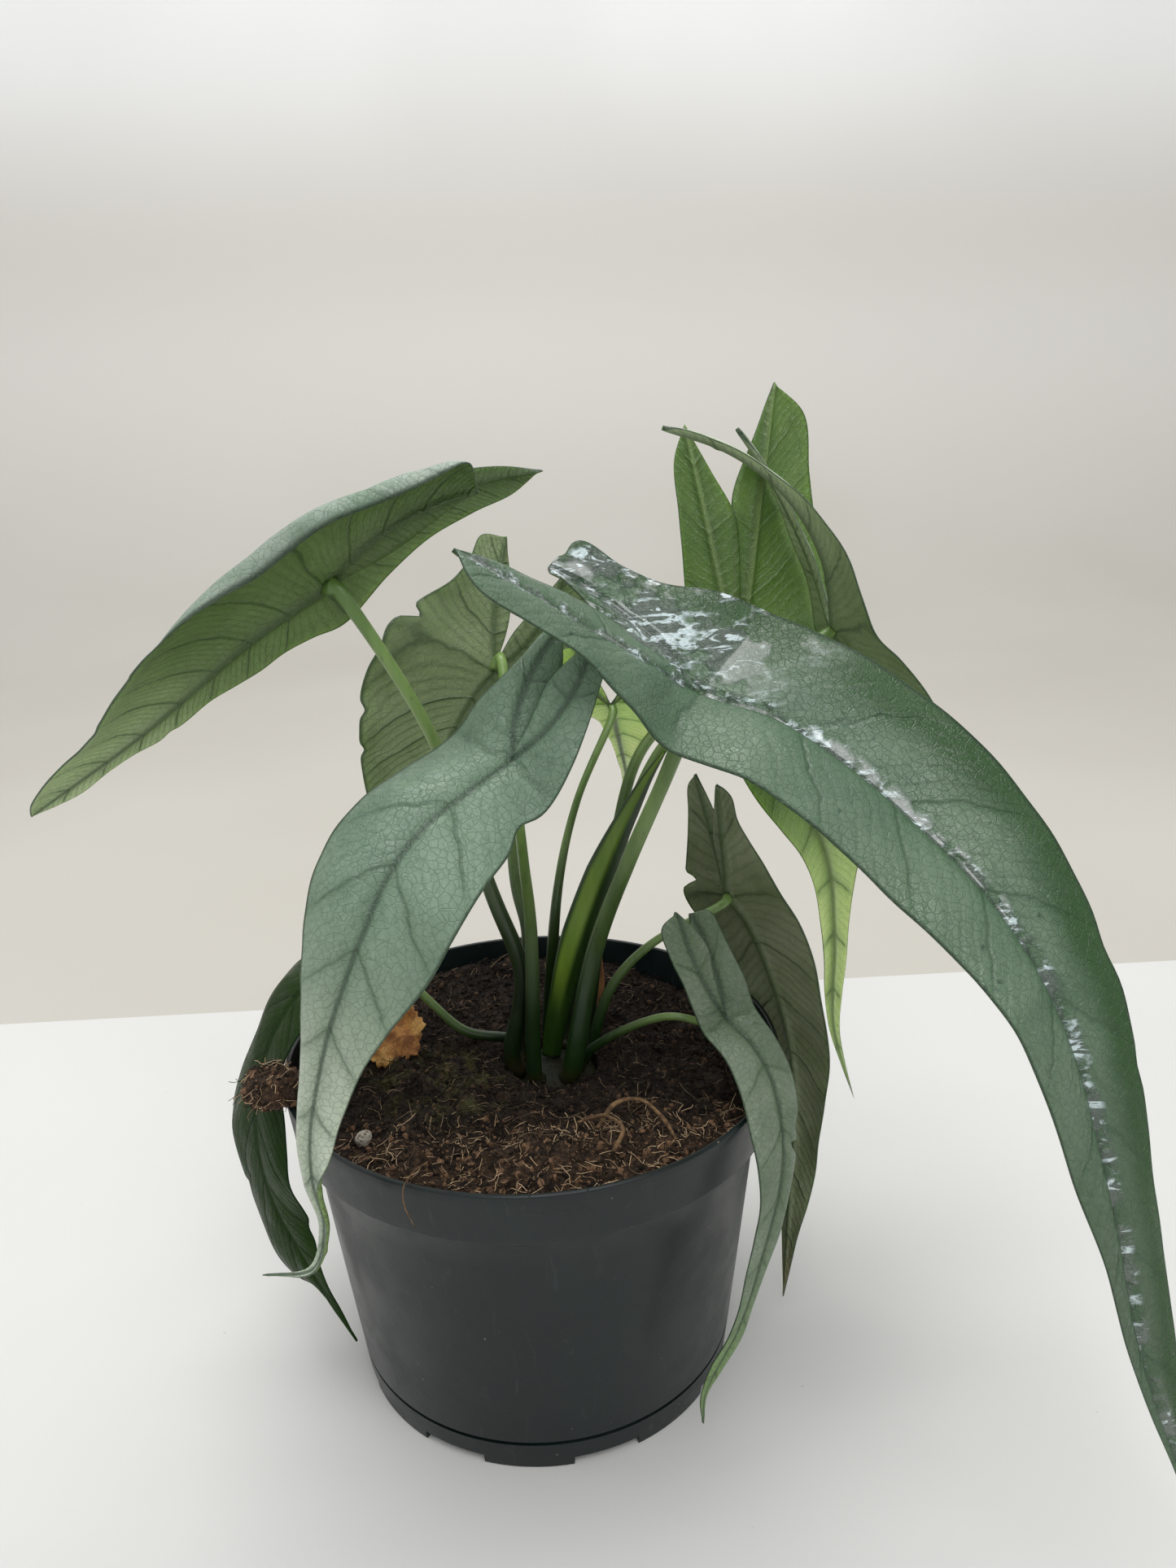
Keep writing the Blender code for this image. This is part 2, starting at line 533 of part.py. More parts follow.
def build_pot():
    inside = WALL_THICKNESS
    profile = [
        (0.0, 0.0), (PAD_RADIUS, 0.0), (PAD_RADIUS + EDGE, CHANNEL_HEIGHT),
        (CHANNEL_OUTER, CHANNEL_HEIGHT), (CHANNEL_OUTER + EDGE, 0.0),
        (FOOT_RADIUS - EDGE, 0.0), (wall_radius(EDGE), EDGE),
        (wall_radius(SEAM_HEIGHT - EDGE), SEAM_HEIGHT - EDGE),
        (wall_radius(SEAM_HEIGHT) - SEAM_DEPTH, SEAM_HEIGHT),
        (wall_radius(SEAM_HEIGHT + EDGE), SEAM_HEIGHT + EDGE),
        (WALL_TOP_RADIUS, LIP_LOW), (LIP_LOW_RADIUS - EDGE, LIP_LOW),
        (LIP_LOW_RADIUS, LIP_LOW + EDGE), (RIM_RADIUS, POT_HEIGHT - EDGE),
        (RIM_RADIUS - EDGE / 2, POT_HEIGHT), (RIM_RADIUS - inside + EDGE / 2, POT_HEIGHT),
        (RIM_RADIUS - inside, POT_HEIGHT - EDGE),
        (LIP_LOW_RADIUS - inside, LEDGE), (WALL_TOP_RADIUS - inside, LEDGE - GAP),
        (wall_radius(FLOOR_TOP) - inside, FLOOR_TOP), (PAD_RADIUS, FLOOR_TOP),
        (PAD_RADIUS - EDGE, WALL_THICKNESS), (0.0, WALL_THICKNESS)]
    verts, faces = lathe(profile, POT_SEGMENTS)
    pot = make_object("pot", verts, faces, material("pot", (0.018, 0.024, 0.026), 0.42))
    cut = bmesh.new()
    for k in range(FOOT_NOTCHES):
        turn = math.radians(NOTCH_TURN + 360.0 * k / FOOT_NOTCHES)
        box = bmesh.ops.create_cube(cut, size=1.0)["verts"]
        depth = FOOT_RADIUS - CHANNEL_OUTER + 4 * EDGE + 0.002
        middle = CHANNEL_OUTER - EDGE + depth / 2
        for v in box:
            x = v.co.x * depth + middle
            y = v.co.y * NOTCH_WIDTH
            v.co = (x * math.cos(turn) - y * math.sin(turn),
                    x * math.sin(turn) + y * math.cos(turn),
                    (v.co.z + 0.5) * (NOTCH_HEIGHT + 0.001) - 0.001)
    for k in range(DRAIN_HOLES):
        turn = math.radians(NOTCH_TURN + 360.0 * (k + 0.5) / DRAIN_HOLES)
        hole = bmesh.ops.create_cone(cut, cap_ends=True, segments=12, radius1=DRAIN_RADIUS,
                                     radius2=DRAIN_RADIUS, depth=0.006)["verts"]
        ring = (PAD_RADIUS + CHANNEL_OUTER) / 2
        for v in hole:
            v.co.x += ring * math.cos(turn)
            v.co.y += ring * math.sin(turn)
            v.co.z += CHANNEL_HEIGHT
    mesh = bpy.data.meshes.new("pot_cut")
    cut.to_mesh(mesh)
    cut.free()
    cutter = bpy.data.objects.new("pot_cut", mesh)
    bpy.context.collection.objects.link(cutter)
    cutter.hide_render = True
    cutter.display_type = "WIRE"
    mod = pot.modifiers.new("openings", "BOOLEAN")
    mod.operation = "DIFFERENCE"
    mod.solver = "EXACT"
    mod.object = cutter
    return pot


# ---------------------------------------------------------------- soil and crown
def soil_height(x, y):
    """Top of the soil: a mound at the left, a crumbly ridge at the front, low at the back."""
    def hump(cx, cy, spread, rise):
        return rise * math.exp(-((x - cx) ** 2 + (y - cy) ** 2) / (2 * spread ** 2))
    middle = hump(CROWN_CENTRE[0], CROWN_CENTRE[1], 0.014, -0.0030)
    x *= DRAWN_RIM * MM / RIM_RADIUS
    y *= DRAWN_RIM * MM / RIM_RADIUS
    z = SOIL_LEVEL + middle
    z += hump(-0.036, -0.012, 0.016, 0.0050)
    z += hump(0.004, -0.052, 0.013, 0.0045)
    z += hump(0.030, -0.040, 0.012, 0.0030)
    z += hump(-0.030, -0.046, 0.012, 0.0020)
    z += hump(0.042, 0.036, 0.018, -0.0045)
    z += 0.0006 * math.sin(x * 410 + 1.0) * math.sin(y * 370)
    return z


def build_crown(mat):
    profile = [(0.0, CROWN_BOTTOM), (CROWN_RADIUS * 0.8, CROWN_BOTTOM),
               (CROWN_RADIUS, CROWN_BOTTOM + 0.0025), (CROWN_RADIUS, CROWN_SHOULDER)]
    for k in range(1, 5):
        r = 1 - k / 5
        profile.append((CROWN_RADIUS * r, CROWN_SHOULDER + CROWN_DOME * (1 - r * r)))
    profile.append((0.0, CROWN_SHOULDER + CROWN_DOME))
    verts, faces = lathe(profile, POT_SEGMENTS)
    verts = [(x + CROWN_CENTRE[0], y + CROWN_CENTRE[1], z) for x, y, z in verts]
    return make_object("crown", verts, faces, mat)


def build_soil(mat):
    n = POT_SEGMENTS
    angles = [2 * math.pi * k / n for k in range(n)]
    edge_r = LIP_LOW_RADIUS - WALL_THICKNESS - 2 * GAP
    pit_r = CROWN_RADIUS + 2 * GAP
    cx, cy = CROWN_CENTRE
    rings = [[(cx, cy, CROWN_BOTTOM - GAP)]]
    rings.append([(cx + pit_r * math.cos(a), cy + pit_r * math.sin(a), CROWN_BOTTOM - GAP)
                  for a in angles])
    for step in range(SOIL_RINGS + 1):
        t = step / SOIL_RINGS
        ring = []
        for a in angles:
            x = (cx + pit_r * math.cos(a)) * (1 - t) + edge_r * math.cos(a) * t
            y = (cy + pit_r * math.sin(a)) * (1 - t) + edge_r * math.sin(a) * t
            ring.append((x, y, soil_height(x, y)))
        rings.append(ring)
    inner = WALL_THICKNESS + GAP
    below = [(edge_r, LEDGE + 2 * GAP), (WALL_TOP_RADIUS - inner, LEDGE + GAP),
             (wall_radius(FLOOR_TOP) - inner, FLOOR_TOP + GAP),
             (PAD_RADIUS - GAP, FLOOR_TOP + GAP),
             (PAD_RADIUS - EDGE - GAP, WALL_THICKNESS + GAP)]
    for r, z in below:
        rings.append([(r * math.cos(a), r * math.sin(a), z) for a in angles])
    rings.append([(0.0, 0.0, WALL_THICKNESS + GAP)])
    verts, faces, index = [], [], []
    for ring in rings:
        index.append(list(range(len(verts), len(verts) + len(ring))))
        verts += ring
    for lower, upper in zip(index, index[1:]):
        for k in range(n):
            m = (k + 1) % n
            ring = [lower[k % len(lower)], lower[m % len(lower)],
                    upper[m % len(upper)], upper[k % len(upper)]]
            faces.append([a for i, a in enumerate(ring) if a != ring[i - 1]])
    return make_object("soil", verts, triangles(faces), mat, smooth=False)


# ---------------------------------------------------------------- leaves and stems
def build_leaf(name, mat):
    leaf = LEAVES[name]
    length = sum(math.dist(a, b) for a, b in zip(leaf["rib"], leaf["rib"][1:]))
    steps = 12 if length > 110 else 8
    verts, faces, strength = leaf_sheet(leaf, 5, steps, 3, 1)
    verts, faces = solid_sheet(verts, faces, strength, BLADE_THICKNESS / MM, RIB_EXTRA / MM)
    return make_object("leaf_" + name, verts * MM, triangles(faces), mat)


def build_stem(name, mat):
    low, high = STEMS[name]["thick"]
    low *= STEM_RING / MM / DRAWN_RING
    verts, faces = tube(stem_path(name), (low, high), STEM_SIDES)
    seat, face, _ = stem_seat(name)
    end = verts[-STEM_SIDES:]
    end += np.outer((seat - end) @ face, face)
    return make_object("stem_" + name, verts * MM, faces, mat)


def build_new_leaf(mat):
    middle = np.array(CROWN_CENTRE) / MM
    path = follow_pot(NEW_LEAF)
    path[0] = follow_soil(NEW_LEAF[0])
    path[0, :2] = middle
    widths = list(NEW_LEAF_WIDTHS)
    widths[0] *= STEM_RING / MM / DRAWN_RING
    verts, faces = tube(spline(path, STEM_STEPS), widths, STEM_SIDES, NEW_LEAF_FLATNESS)
    return make_object("new_leaf", verts * MM, faces, mat)


# ---------------------------------------------------------------- loose bits
def build_flake(mat):
    """A dried, curled scrap of leaf lying on the soil."""
    rng = np.random.default_rng(4)
    rim, count = [], 9
    for k in range(count):
        a = 2 * math.pi * k / count
        r = rng.uniform(0.8, 1.1)
        x, y = FLAKE_SIZE[0] * r * math.cos(a), FLAKE_SIZE[1] * r * math.sin(a)
        rim.append((x, y * 0.8, 0.6 * y + 0.02 * x * x))
    half = [(x * 0.5, y * 0.5, z * 0.55 - 0.5) for x, y, z in rim]
    verts = np.array([(0.0, 0.0, -0.8)] + half + rim) + follow_soil(FLAKE_AT)
    faces = []
    for k in range(count):
        n = (k + 1) % count
        faces.append([0, 1 + k, 1 + n])
        faces.append([1 + k, 1 + count + k, 1 + count + n, 1 + n])
    verts, faces = solid_sheet(verts, faces, np.zeros(len(verts)), 0.5, 0.0)
    return make_object("dried_flake", verts * MM, triangles(faces), mat)


def build_scale(mat):
    """The papery dried scale left standing behind the stems."""
    path = spline(follow_soil(SCALE_STRIP), 8)
    verts, faces = tube(path, [1.6, 2.6, 2.2, 1.2], 8, flatness=0.16, across=(0.9, -0.4, 0.1))
    return make_object("dried_scale", verts * MM, faces, mat)


def build_thread(name, points, radius, mat, steps=10, sides=6):
    verts, faces = tube(spline(points, steps), [radius, radius, 0.6 * radius], sides)
    return make_object(name, verts * MM, faces, mat)


def build_all():
    clear_scene()
    build_pot()
    soil = material("soil", (0.075, 0.045, 0.028), 0.95)
    build_soil(soil)
    build_crown(material("crown", (0.10, 0.13, 0.05), 0.7))
    clump, faces = blob(follow_pot(CLUMP_AT), CLUMP_SIZE, 7)
    make_object("soil_clump", clump * MM, triangles(faces), soil, smooth=False)
    blade = material("leaf", (0.16, 0.27, 0.17), 0.35)
    stalk = material("stem", (0.10, 0.22, 0.06), 0.4)
    for name in LEAVES:
        build_leaf(name, blade)
        build_stem(name, stalk)
    build_new_leaf(stalk)
    dry = material("dried", (0.42, 0.22, 0.08), 0.85)
    build_flake(dry)
    build_scale(dry)
    root = material("root", (0.30, 0.20, 0.11), 0.85)
    build_thread("root_long", follow_soil(ROOT_LONG), ROOT_RADIUS, root)
    build_thread("root_short", follow_soil(ROOT_SHORT), ROOT_RADIUS, root)
    build_thread("rim_fibre", follow_pot(HAIR), HAIR_RADIUS, root)
    crumb, faces = blob(follow_soil(CRUMB_AT), (CRUMB_RADIUS,) * 3, 11, rings=4, segments=7)
    make_object("white_crumb", crumb * MM, triangles(faces),
                material("crumb", (0.62, 0.60, 0.55), 0.9), smooth=False)


build_all()
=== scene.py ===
import math
import bmesh
import bpy
import numpy as np
from mathutils import Matrix, Vector


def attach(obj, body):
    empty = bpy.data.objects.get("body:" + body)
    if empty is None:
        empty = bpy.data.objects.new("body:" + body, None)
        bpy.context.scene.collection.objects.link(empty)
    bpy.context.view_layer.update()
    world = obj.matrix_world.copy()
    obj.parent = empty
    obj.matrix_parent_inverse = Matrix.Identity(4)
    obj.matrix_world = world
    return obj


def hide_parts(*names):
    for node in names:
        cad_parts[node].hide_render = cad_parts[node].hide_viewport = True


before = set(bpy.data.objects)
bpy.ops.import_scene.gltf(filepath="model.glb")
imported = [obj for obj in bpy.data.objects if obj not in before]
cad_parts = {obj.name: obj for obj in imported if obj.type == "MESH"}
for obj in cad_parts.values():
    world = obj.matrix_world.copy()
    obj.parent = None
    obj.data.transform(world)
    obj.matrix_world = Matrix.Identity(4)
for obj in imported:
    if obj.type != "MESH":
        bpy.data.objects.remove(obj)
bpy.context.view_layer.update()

# A potted alocasia. Lengths in the plant's own tables are millimetres; meshes are in metres.
mm = 0.001


# curves

def unit(v):
    v = np.asarray(v, float)
    return v / np.maximum(np.linalg.norm(v, axis=-1, keepdims=True), 1e-12)


def bend(a, b, c, d, t):
    # a smooth curve from b to c that heads on from a and towards d
    return 0.5 * (2 * b + (c - a) * t + (2 * a - 5 * b + 4 * c - d) * t ** 2
                  + (3 * b - a - 3 * c + d) * t ** 3)


def spline(points, count):
    pts = np.asarray(points, float)
    p = np.concatenate([[2 * pts[0] - pts[1]], pts, [2 * pts[-1] - pts[-2]]])
    t = np.linspace(0, 1, 24, endpoint=False)[:, None]
    fine = [bend(*p[i - 1:i + 3], t) for i in range(1, len(p) - 2)]
    fine = np.concatenate(fine + [pts[-1:]])
    run = runLength(fine)
    want = np.linspace(0, run[-1], count + 1)
    return np.stack([np.interp(want, run, fine[:, k]) for k in range(3)], axis=1)


def runLength(points):
    return np.concatenate([[0], np.cumsum(np.linalg.norm(np.diff(points, axis=0), axis=1))])


def tangents(points):
    return unit(np.gradient(points, axis=0))


def along(values, count):
    values = np.asarray(values, float)
    knots = np.linspace(0, 1, len(values))
    steps = np.linspace(0, 1, count + 1)
    return np.stack([np.interp(steps, knots, values[:, k])
                     for k in range(values.shape[1])], axis=1)


def flow(at, knots, values):
    knots, values = np.asarray(knots, float), np.asarray(values, float)
    slope = np.gradient(values, knots)
    k = np.clip(np.searchsorted(knots, at, side="right") - 1, 0, len(knots) - 2)
    step = knots[k + 1] - knots[k]
    t = (at - knots[k]) / step
    return ((2 * t ** 3 - 3 * t ** 2 + 1) * values[k] + (3 * t ** 2 - 2 * t ** 3) * values[k + 1]
            + (t ** 3 - 2 * t ** 2 + t) * step * slope[k]
            + (t ** 3 - t ** 2) * step * slope[k + 1])


def squareTo(vectors, axis):
    return unit(vectors - (vectors * axis).sum(-1, keepdims=True) * axis)


def smoothStep(a, b, x):
    t = np.clip((np.asarray(x, float) - a) / (b - a), 0, 1)
    return t * t * (3 - 2 * t)


def ripple(points, scale, seed):
    # a soft, repeatable unevenness from a few crossing waves
    rng = np.random.default_rng(seed)
    total = np.zeros(len(points))
    for _ in range(6):
        way = unit(rng.normal(size=3)) * scale * rng.uniform(0.6, 1.5)
        total += np.sin(points @ way + rng.uniform(0, 6.28))
    return total / 6


# meshes

def makePiece(name, verts, faces, materials, faceMats=None, smooth=True, uvs=None, marks=None):
    mesh = bpy.data.meshes.new(name)
    mesh.from_pydata(np.asarray(verts, float).tolist(), [], [list(f) for f in faces])
    for mat in materials:
        mesh.materials.append(mat)
    mesh.polygons.foreach_set("use_smooth", [smooth] * len(mesh.polygons))
    if faceMats is not None:
        mesh.polygons.foreach_set("material_index", np.asarray(faceMats, np.int32))
    corner = np.zeros(len(mesh.loops), np.int32)
    mesh.loops.foreach_get("vertex_index", corner)
    for key, values in (uvs or {}).items():
        layer = mesh.uv_layers.new(name=key)
        layer.data.foreach_set("uv", np.asarray(values, np.float32)[corner].ravel())
    for key, values in (marks or {}).items():
        layer = mesh.attributes.new(key, "FLOAT", "POINT")
        layer.data.foreach_set("value", np.asarray(values, np.float32))
    mesh.update()
    piece = bpy.data.objects.new(name, mesh)
    bpy.context.scene.collection.objects.link(piece)
    return piece


def turnOut(piece):
    # face normals outwards on a closed shape
    work = bmesh.new()
    work.from_mesh(piece.data)
    bmesh.ops.recalc_face_normals(work, faces=work.faces)
    work.to_mesh(piece.data)
    work.free()


def settle(piece):
    # turn live modifiers into a plain mesh
    graph = bpy.context.evaluated_depsgraph_get()
    plain = bpy.data.meshes.new_from_object(piece.evaluated_get(graph))
    piece.modifiers.clear()
    piece.data = plain
    return piece


def hand(piece, slot, *nodes):
    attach(piece, "root")
    if nodes:
        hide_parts(*nodes)


def solid(name, slot, node, verts, faces, material, marks=None):
    piece = makePiece(name, verts, faces, [material], marks=marks)
    turnOut(piece)
    hand(piece, slot, node)
    return piece


def joinRings(sizes, around):
    # faces between rings of points that follow one another; a ring of one point is a pole
    faces, a = [], 0
    for low, high in zip(sizes, sizes[1:]):
        b = a + low
        for k in range(around):
            n = (k + 1) % around
            ring = [a + k % low, a + n % low, b + n % high, b + k % high]
            faces.append([v for i, v in enumerate(ring) if v != ring[i - 1]])
        a = b
    return faces


def tubeMesh(path, radii, sides, flatness=1.0, across=(1.0, 0.0, 0.0), shape=None):
    path = np.asarray(path, float)
    ahead = tangents(path)
    size = np.interp(np.linspace(0, 1, len(path)), np.linspace(0, 1, len(radii)), radii)
    side = squareTo(np.tile(np.asarray(across, float), (len(path), 1)), ahead)
    front = np.cross(ahead, side)
    angle = 2 * np.pi * np.arange(sides) / sides
    girth = np.ones((len(path), sides)) if shape is None else shape(angle, len(path))
    ring = (side[:, None, :] * np.cos(angle)[None, :, None]
            + front[:, None, :] * (np.sin(angle) * flatness)[None, :, None])
    verts = (path[:, None, :] + ring * (size[:, None] * girth)[:, :, None]).reshape(-1, 3)
    last = (len(path) - 1) * sides
    faces = joinRings([sides] * len(path), sides)
    faces += [list(range(sides))[::-1], [last + k for k in range(sides)]]
    run = np.repeat(np.linspace(0, 1, len(path)), sides)
    return verts, faces, run


def latheMesh(profile, segments):
    sizes = [1 if r < 1e-9 else segments for r, z in profile]
    turns = [2 * math.pi * k / segments for k in range(segments)]
    verts = [(r * math.cos(turn), r * math.sin(turn), z)
             for (r, z), size in zip(profile, sizes) for turn in turns[:size]]
    return verts, joinRings(sizes, segments)


# shader helpers

def paint(r, g, b):
    # a colour as a painter names it, 0 to 255, in scene light
    return tuple(((c / 255 + 0.055) / 1.055) ** 2.4 if c > 10 else c / 255 / 12.92
                 for c in (r, g, b)) + (1.0,)


class NodeTree:
    # short ways to add nodes; an input is a plain value or another node's output
    def put(self, socket, value):
        if isinstance(value, bpy.types.NodeSocket):
            self.tree.links.new(value, socket)
        else:
            socket.default_value = value

    def add(self, kind, inputs, **settings):
        node = self.tree.nodes.new(kind)
        for key, value in settings.items():
            setattr(node, key, value)
        for key, value in inputs.items():
            self.put(node.inputs[key], value)
        return node.outputs

    def math(self, op, *values):
        return self.add("ShaderNodeMath", dict(enumerate(values)), operation=op)[0]

    def times(self, a, b):
        return self.math("MULTIPLY", a, b)

    def plus(self, a, b):
        return self.math("ADD", a, b)


class Shade(NodeTree):
    # a material, seen in the object's own coordinates
    def __init__(self, name, **settings):
        self.mat = bpy.data.materials.new(name)
        self.mat.use_nodes = True
        self.tree = self.mat.node_tree
        self.shader = self.tree.nodes["Principled BSDF"]
        self.coords = self.tree.nodes.new("ShaderNodeTexCoord").outputs["Object"]
        for key, value in settings.items():
            self.shader.inputs[key].default_value = value

    def stretch(self, value, a, b, c=0.0, d=1.0, kind="SMOOTHSTEP"):
        return self.add("ShaderNodeMapRange", dict(enumerate((value, a, b, c, d))),
                        interpolation_type=kind)[0]

    def blend(self, amount, a, b):
        return self.add("ShaderNodeMix", {0: amount, 6: a, 7: b}, data_type="RGBA")[2]

    def tint(self, base, amount, strength, colour):
        return self.blend(self.times(amount, strength), base, colour)

    def mottle(self, value, a, b, low=0.35, high=0.65):
        return self.blend(self.stretch(value, low, high), a, b)

    def noise(self, scale, detail=3.0, rough=0.55, distort=0.0, coords=None):
        return self.add("ShaderNodeTexNoise",
                        {"Scale": scale, "Detail": detail, "Roughness": rough,
                         "Distortion": distort, "Vector": coords or self.coords})["Fac"]

    def cells(self, scale, feature="F1", coords=None):
        return self.add("ShaderNodeTexVoronoi",
                        {"Scale": scale, "Vector": coords or self.coords},
                        feature=feature)["Distance"]

    def squeeze(self, x, y, z):
        return self.add("ShaderNodeMapping", {"Scale": (x, y, z), "Vector": self.coords})["Vector"]

    def warp(self, scale, amount):
        # coordinates shaken a little, for patterns that should not look ruled
        wobble = self.add("ShaderNodeTexNoise", {"Scale": scale, "Vector": self.coords})
        small = self.add("ShaderNodeVectorMath", {0: wobble["Color"], "Scale": amount},
                         operation="SCALE")
        return self.add("ShaderNodeVectorMath", {0: self.coords, 1: small[0]})[0]

    def parts(self, vector):
        return self.add("ShaderNodeSeparateXYZ", {0: vector})

    def mark(self, name):
        return self.add("ShaderNodeAttribute", {}, attribute_name=name)["Fac"]

    def bump(self, height, depth, strength=1.0):
        node = self.add("ShaderNodeBump",
                        {"Strength": strength, "Distance": depth, "Height": height})
        self.put(self.shader.inputs["Normal"], node[0])

    def colour(self, value):
        self.put(self.shader.inputs["Base Color"], value)

    def rough(self, value, low=None, high=None):
        # a gloss that wanders between two values, or one given as it is
        if low is not None:
            value = self.stretch(value, 0.3, 0.7, low, high)
        self.put(self.shader.inputs["Roughness"], value)


# camera

camera = {"yaw": 3.5, "pitch": 18.0, "roll": -2.0, "place": (0.0, -0.2996, 0.2716), "lens": 27.05}


def makeCamera():
    yaw, pitch, roll = (math.radians(camera[k]) for k in ("yaw", "pitch", "roll"))
    ahead = Vector((math.sin(yaw) * math.cos(pitch), math.cos(yaw) * math.cos(pitch),
                    -math.sin(pitch)))
    right = Vector((math.cos(yaw), -math.sin(yaw), 0.0))
    up = right.cross(ahead)
    side = right * math.cos(roll) + up * math.sin(roll)
    top = up * math.cos(roll) - right * math.sin(roll)
    turn = Matrix((side, top, -ahead)).transposed().to_4x4()
    lens = bpy.data.cameras.new("camera")
    lens.sensor_width = 36.0
    lens.sensor_fit = "AUTO"
    lens.lens = camera["lens"]
    eye = bpy.data.objects.new("camera", lens)
    eye.matrix_world = Matrix.Translation(camera["place"]) @ turn
    bpy.context.scene.collection.objects.link(eye)
    bpy.context.scene.camera = eye


makeCamera()
print("camera set")


# leaves

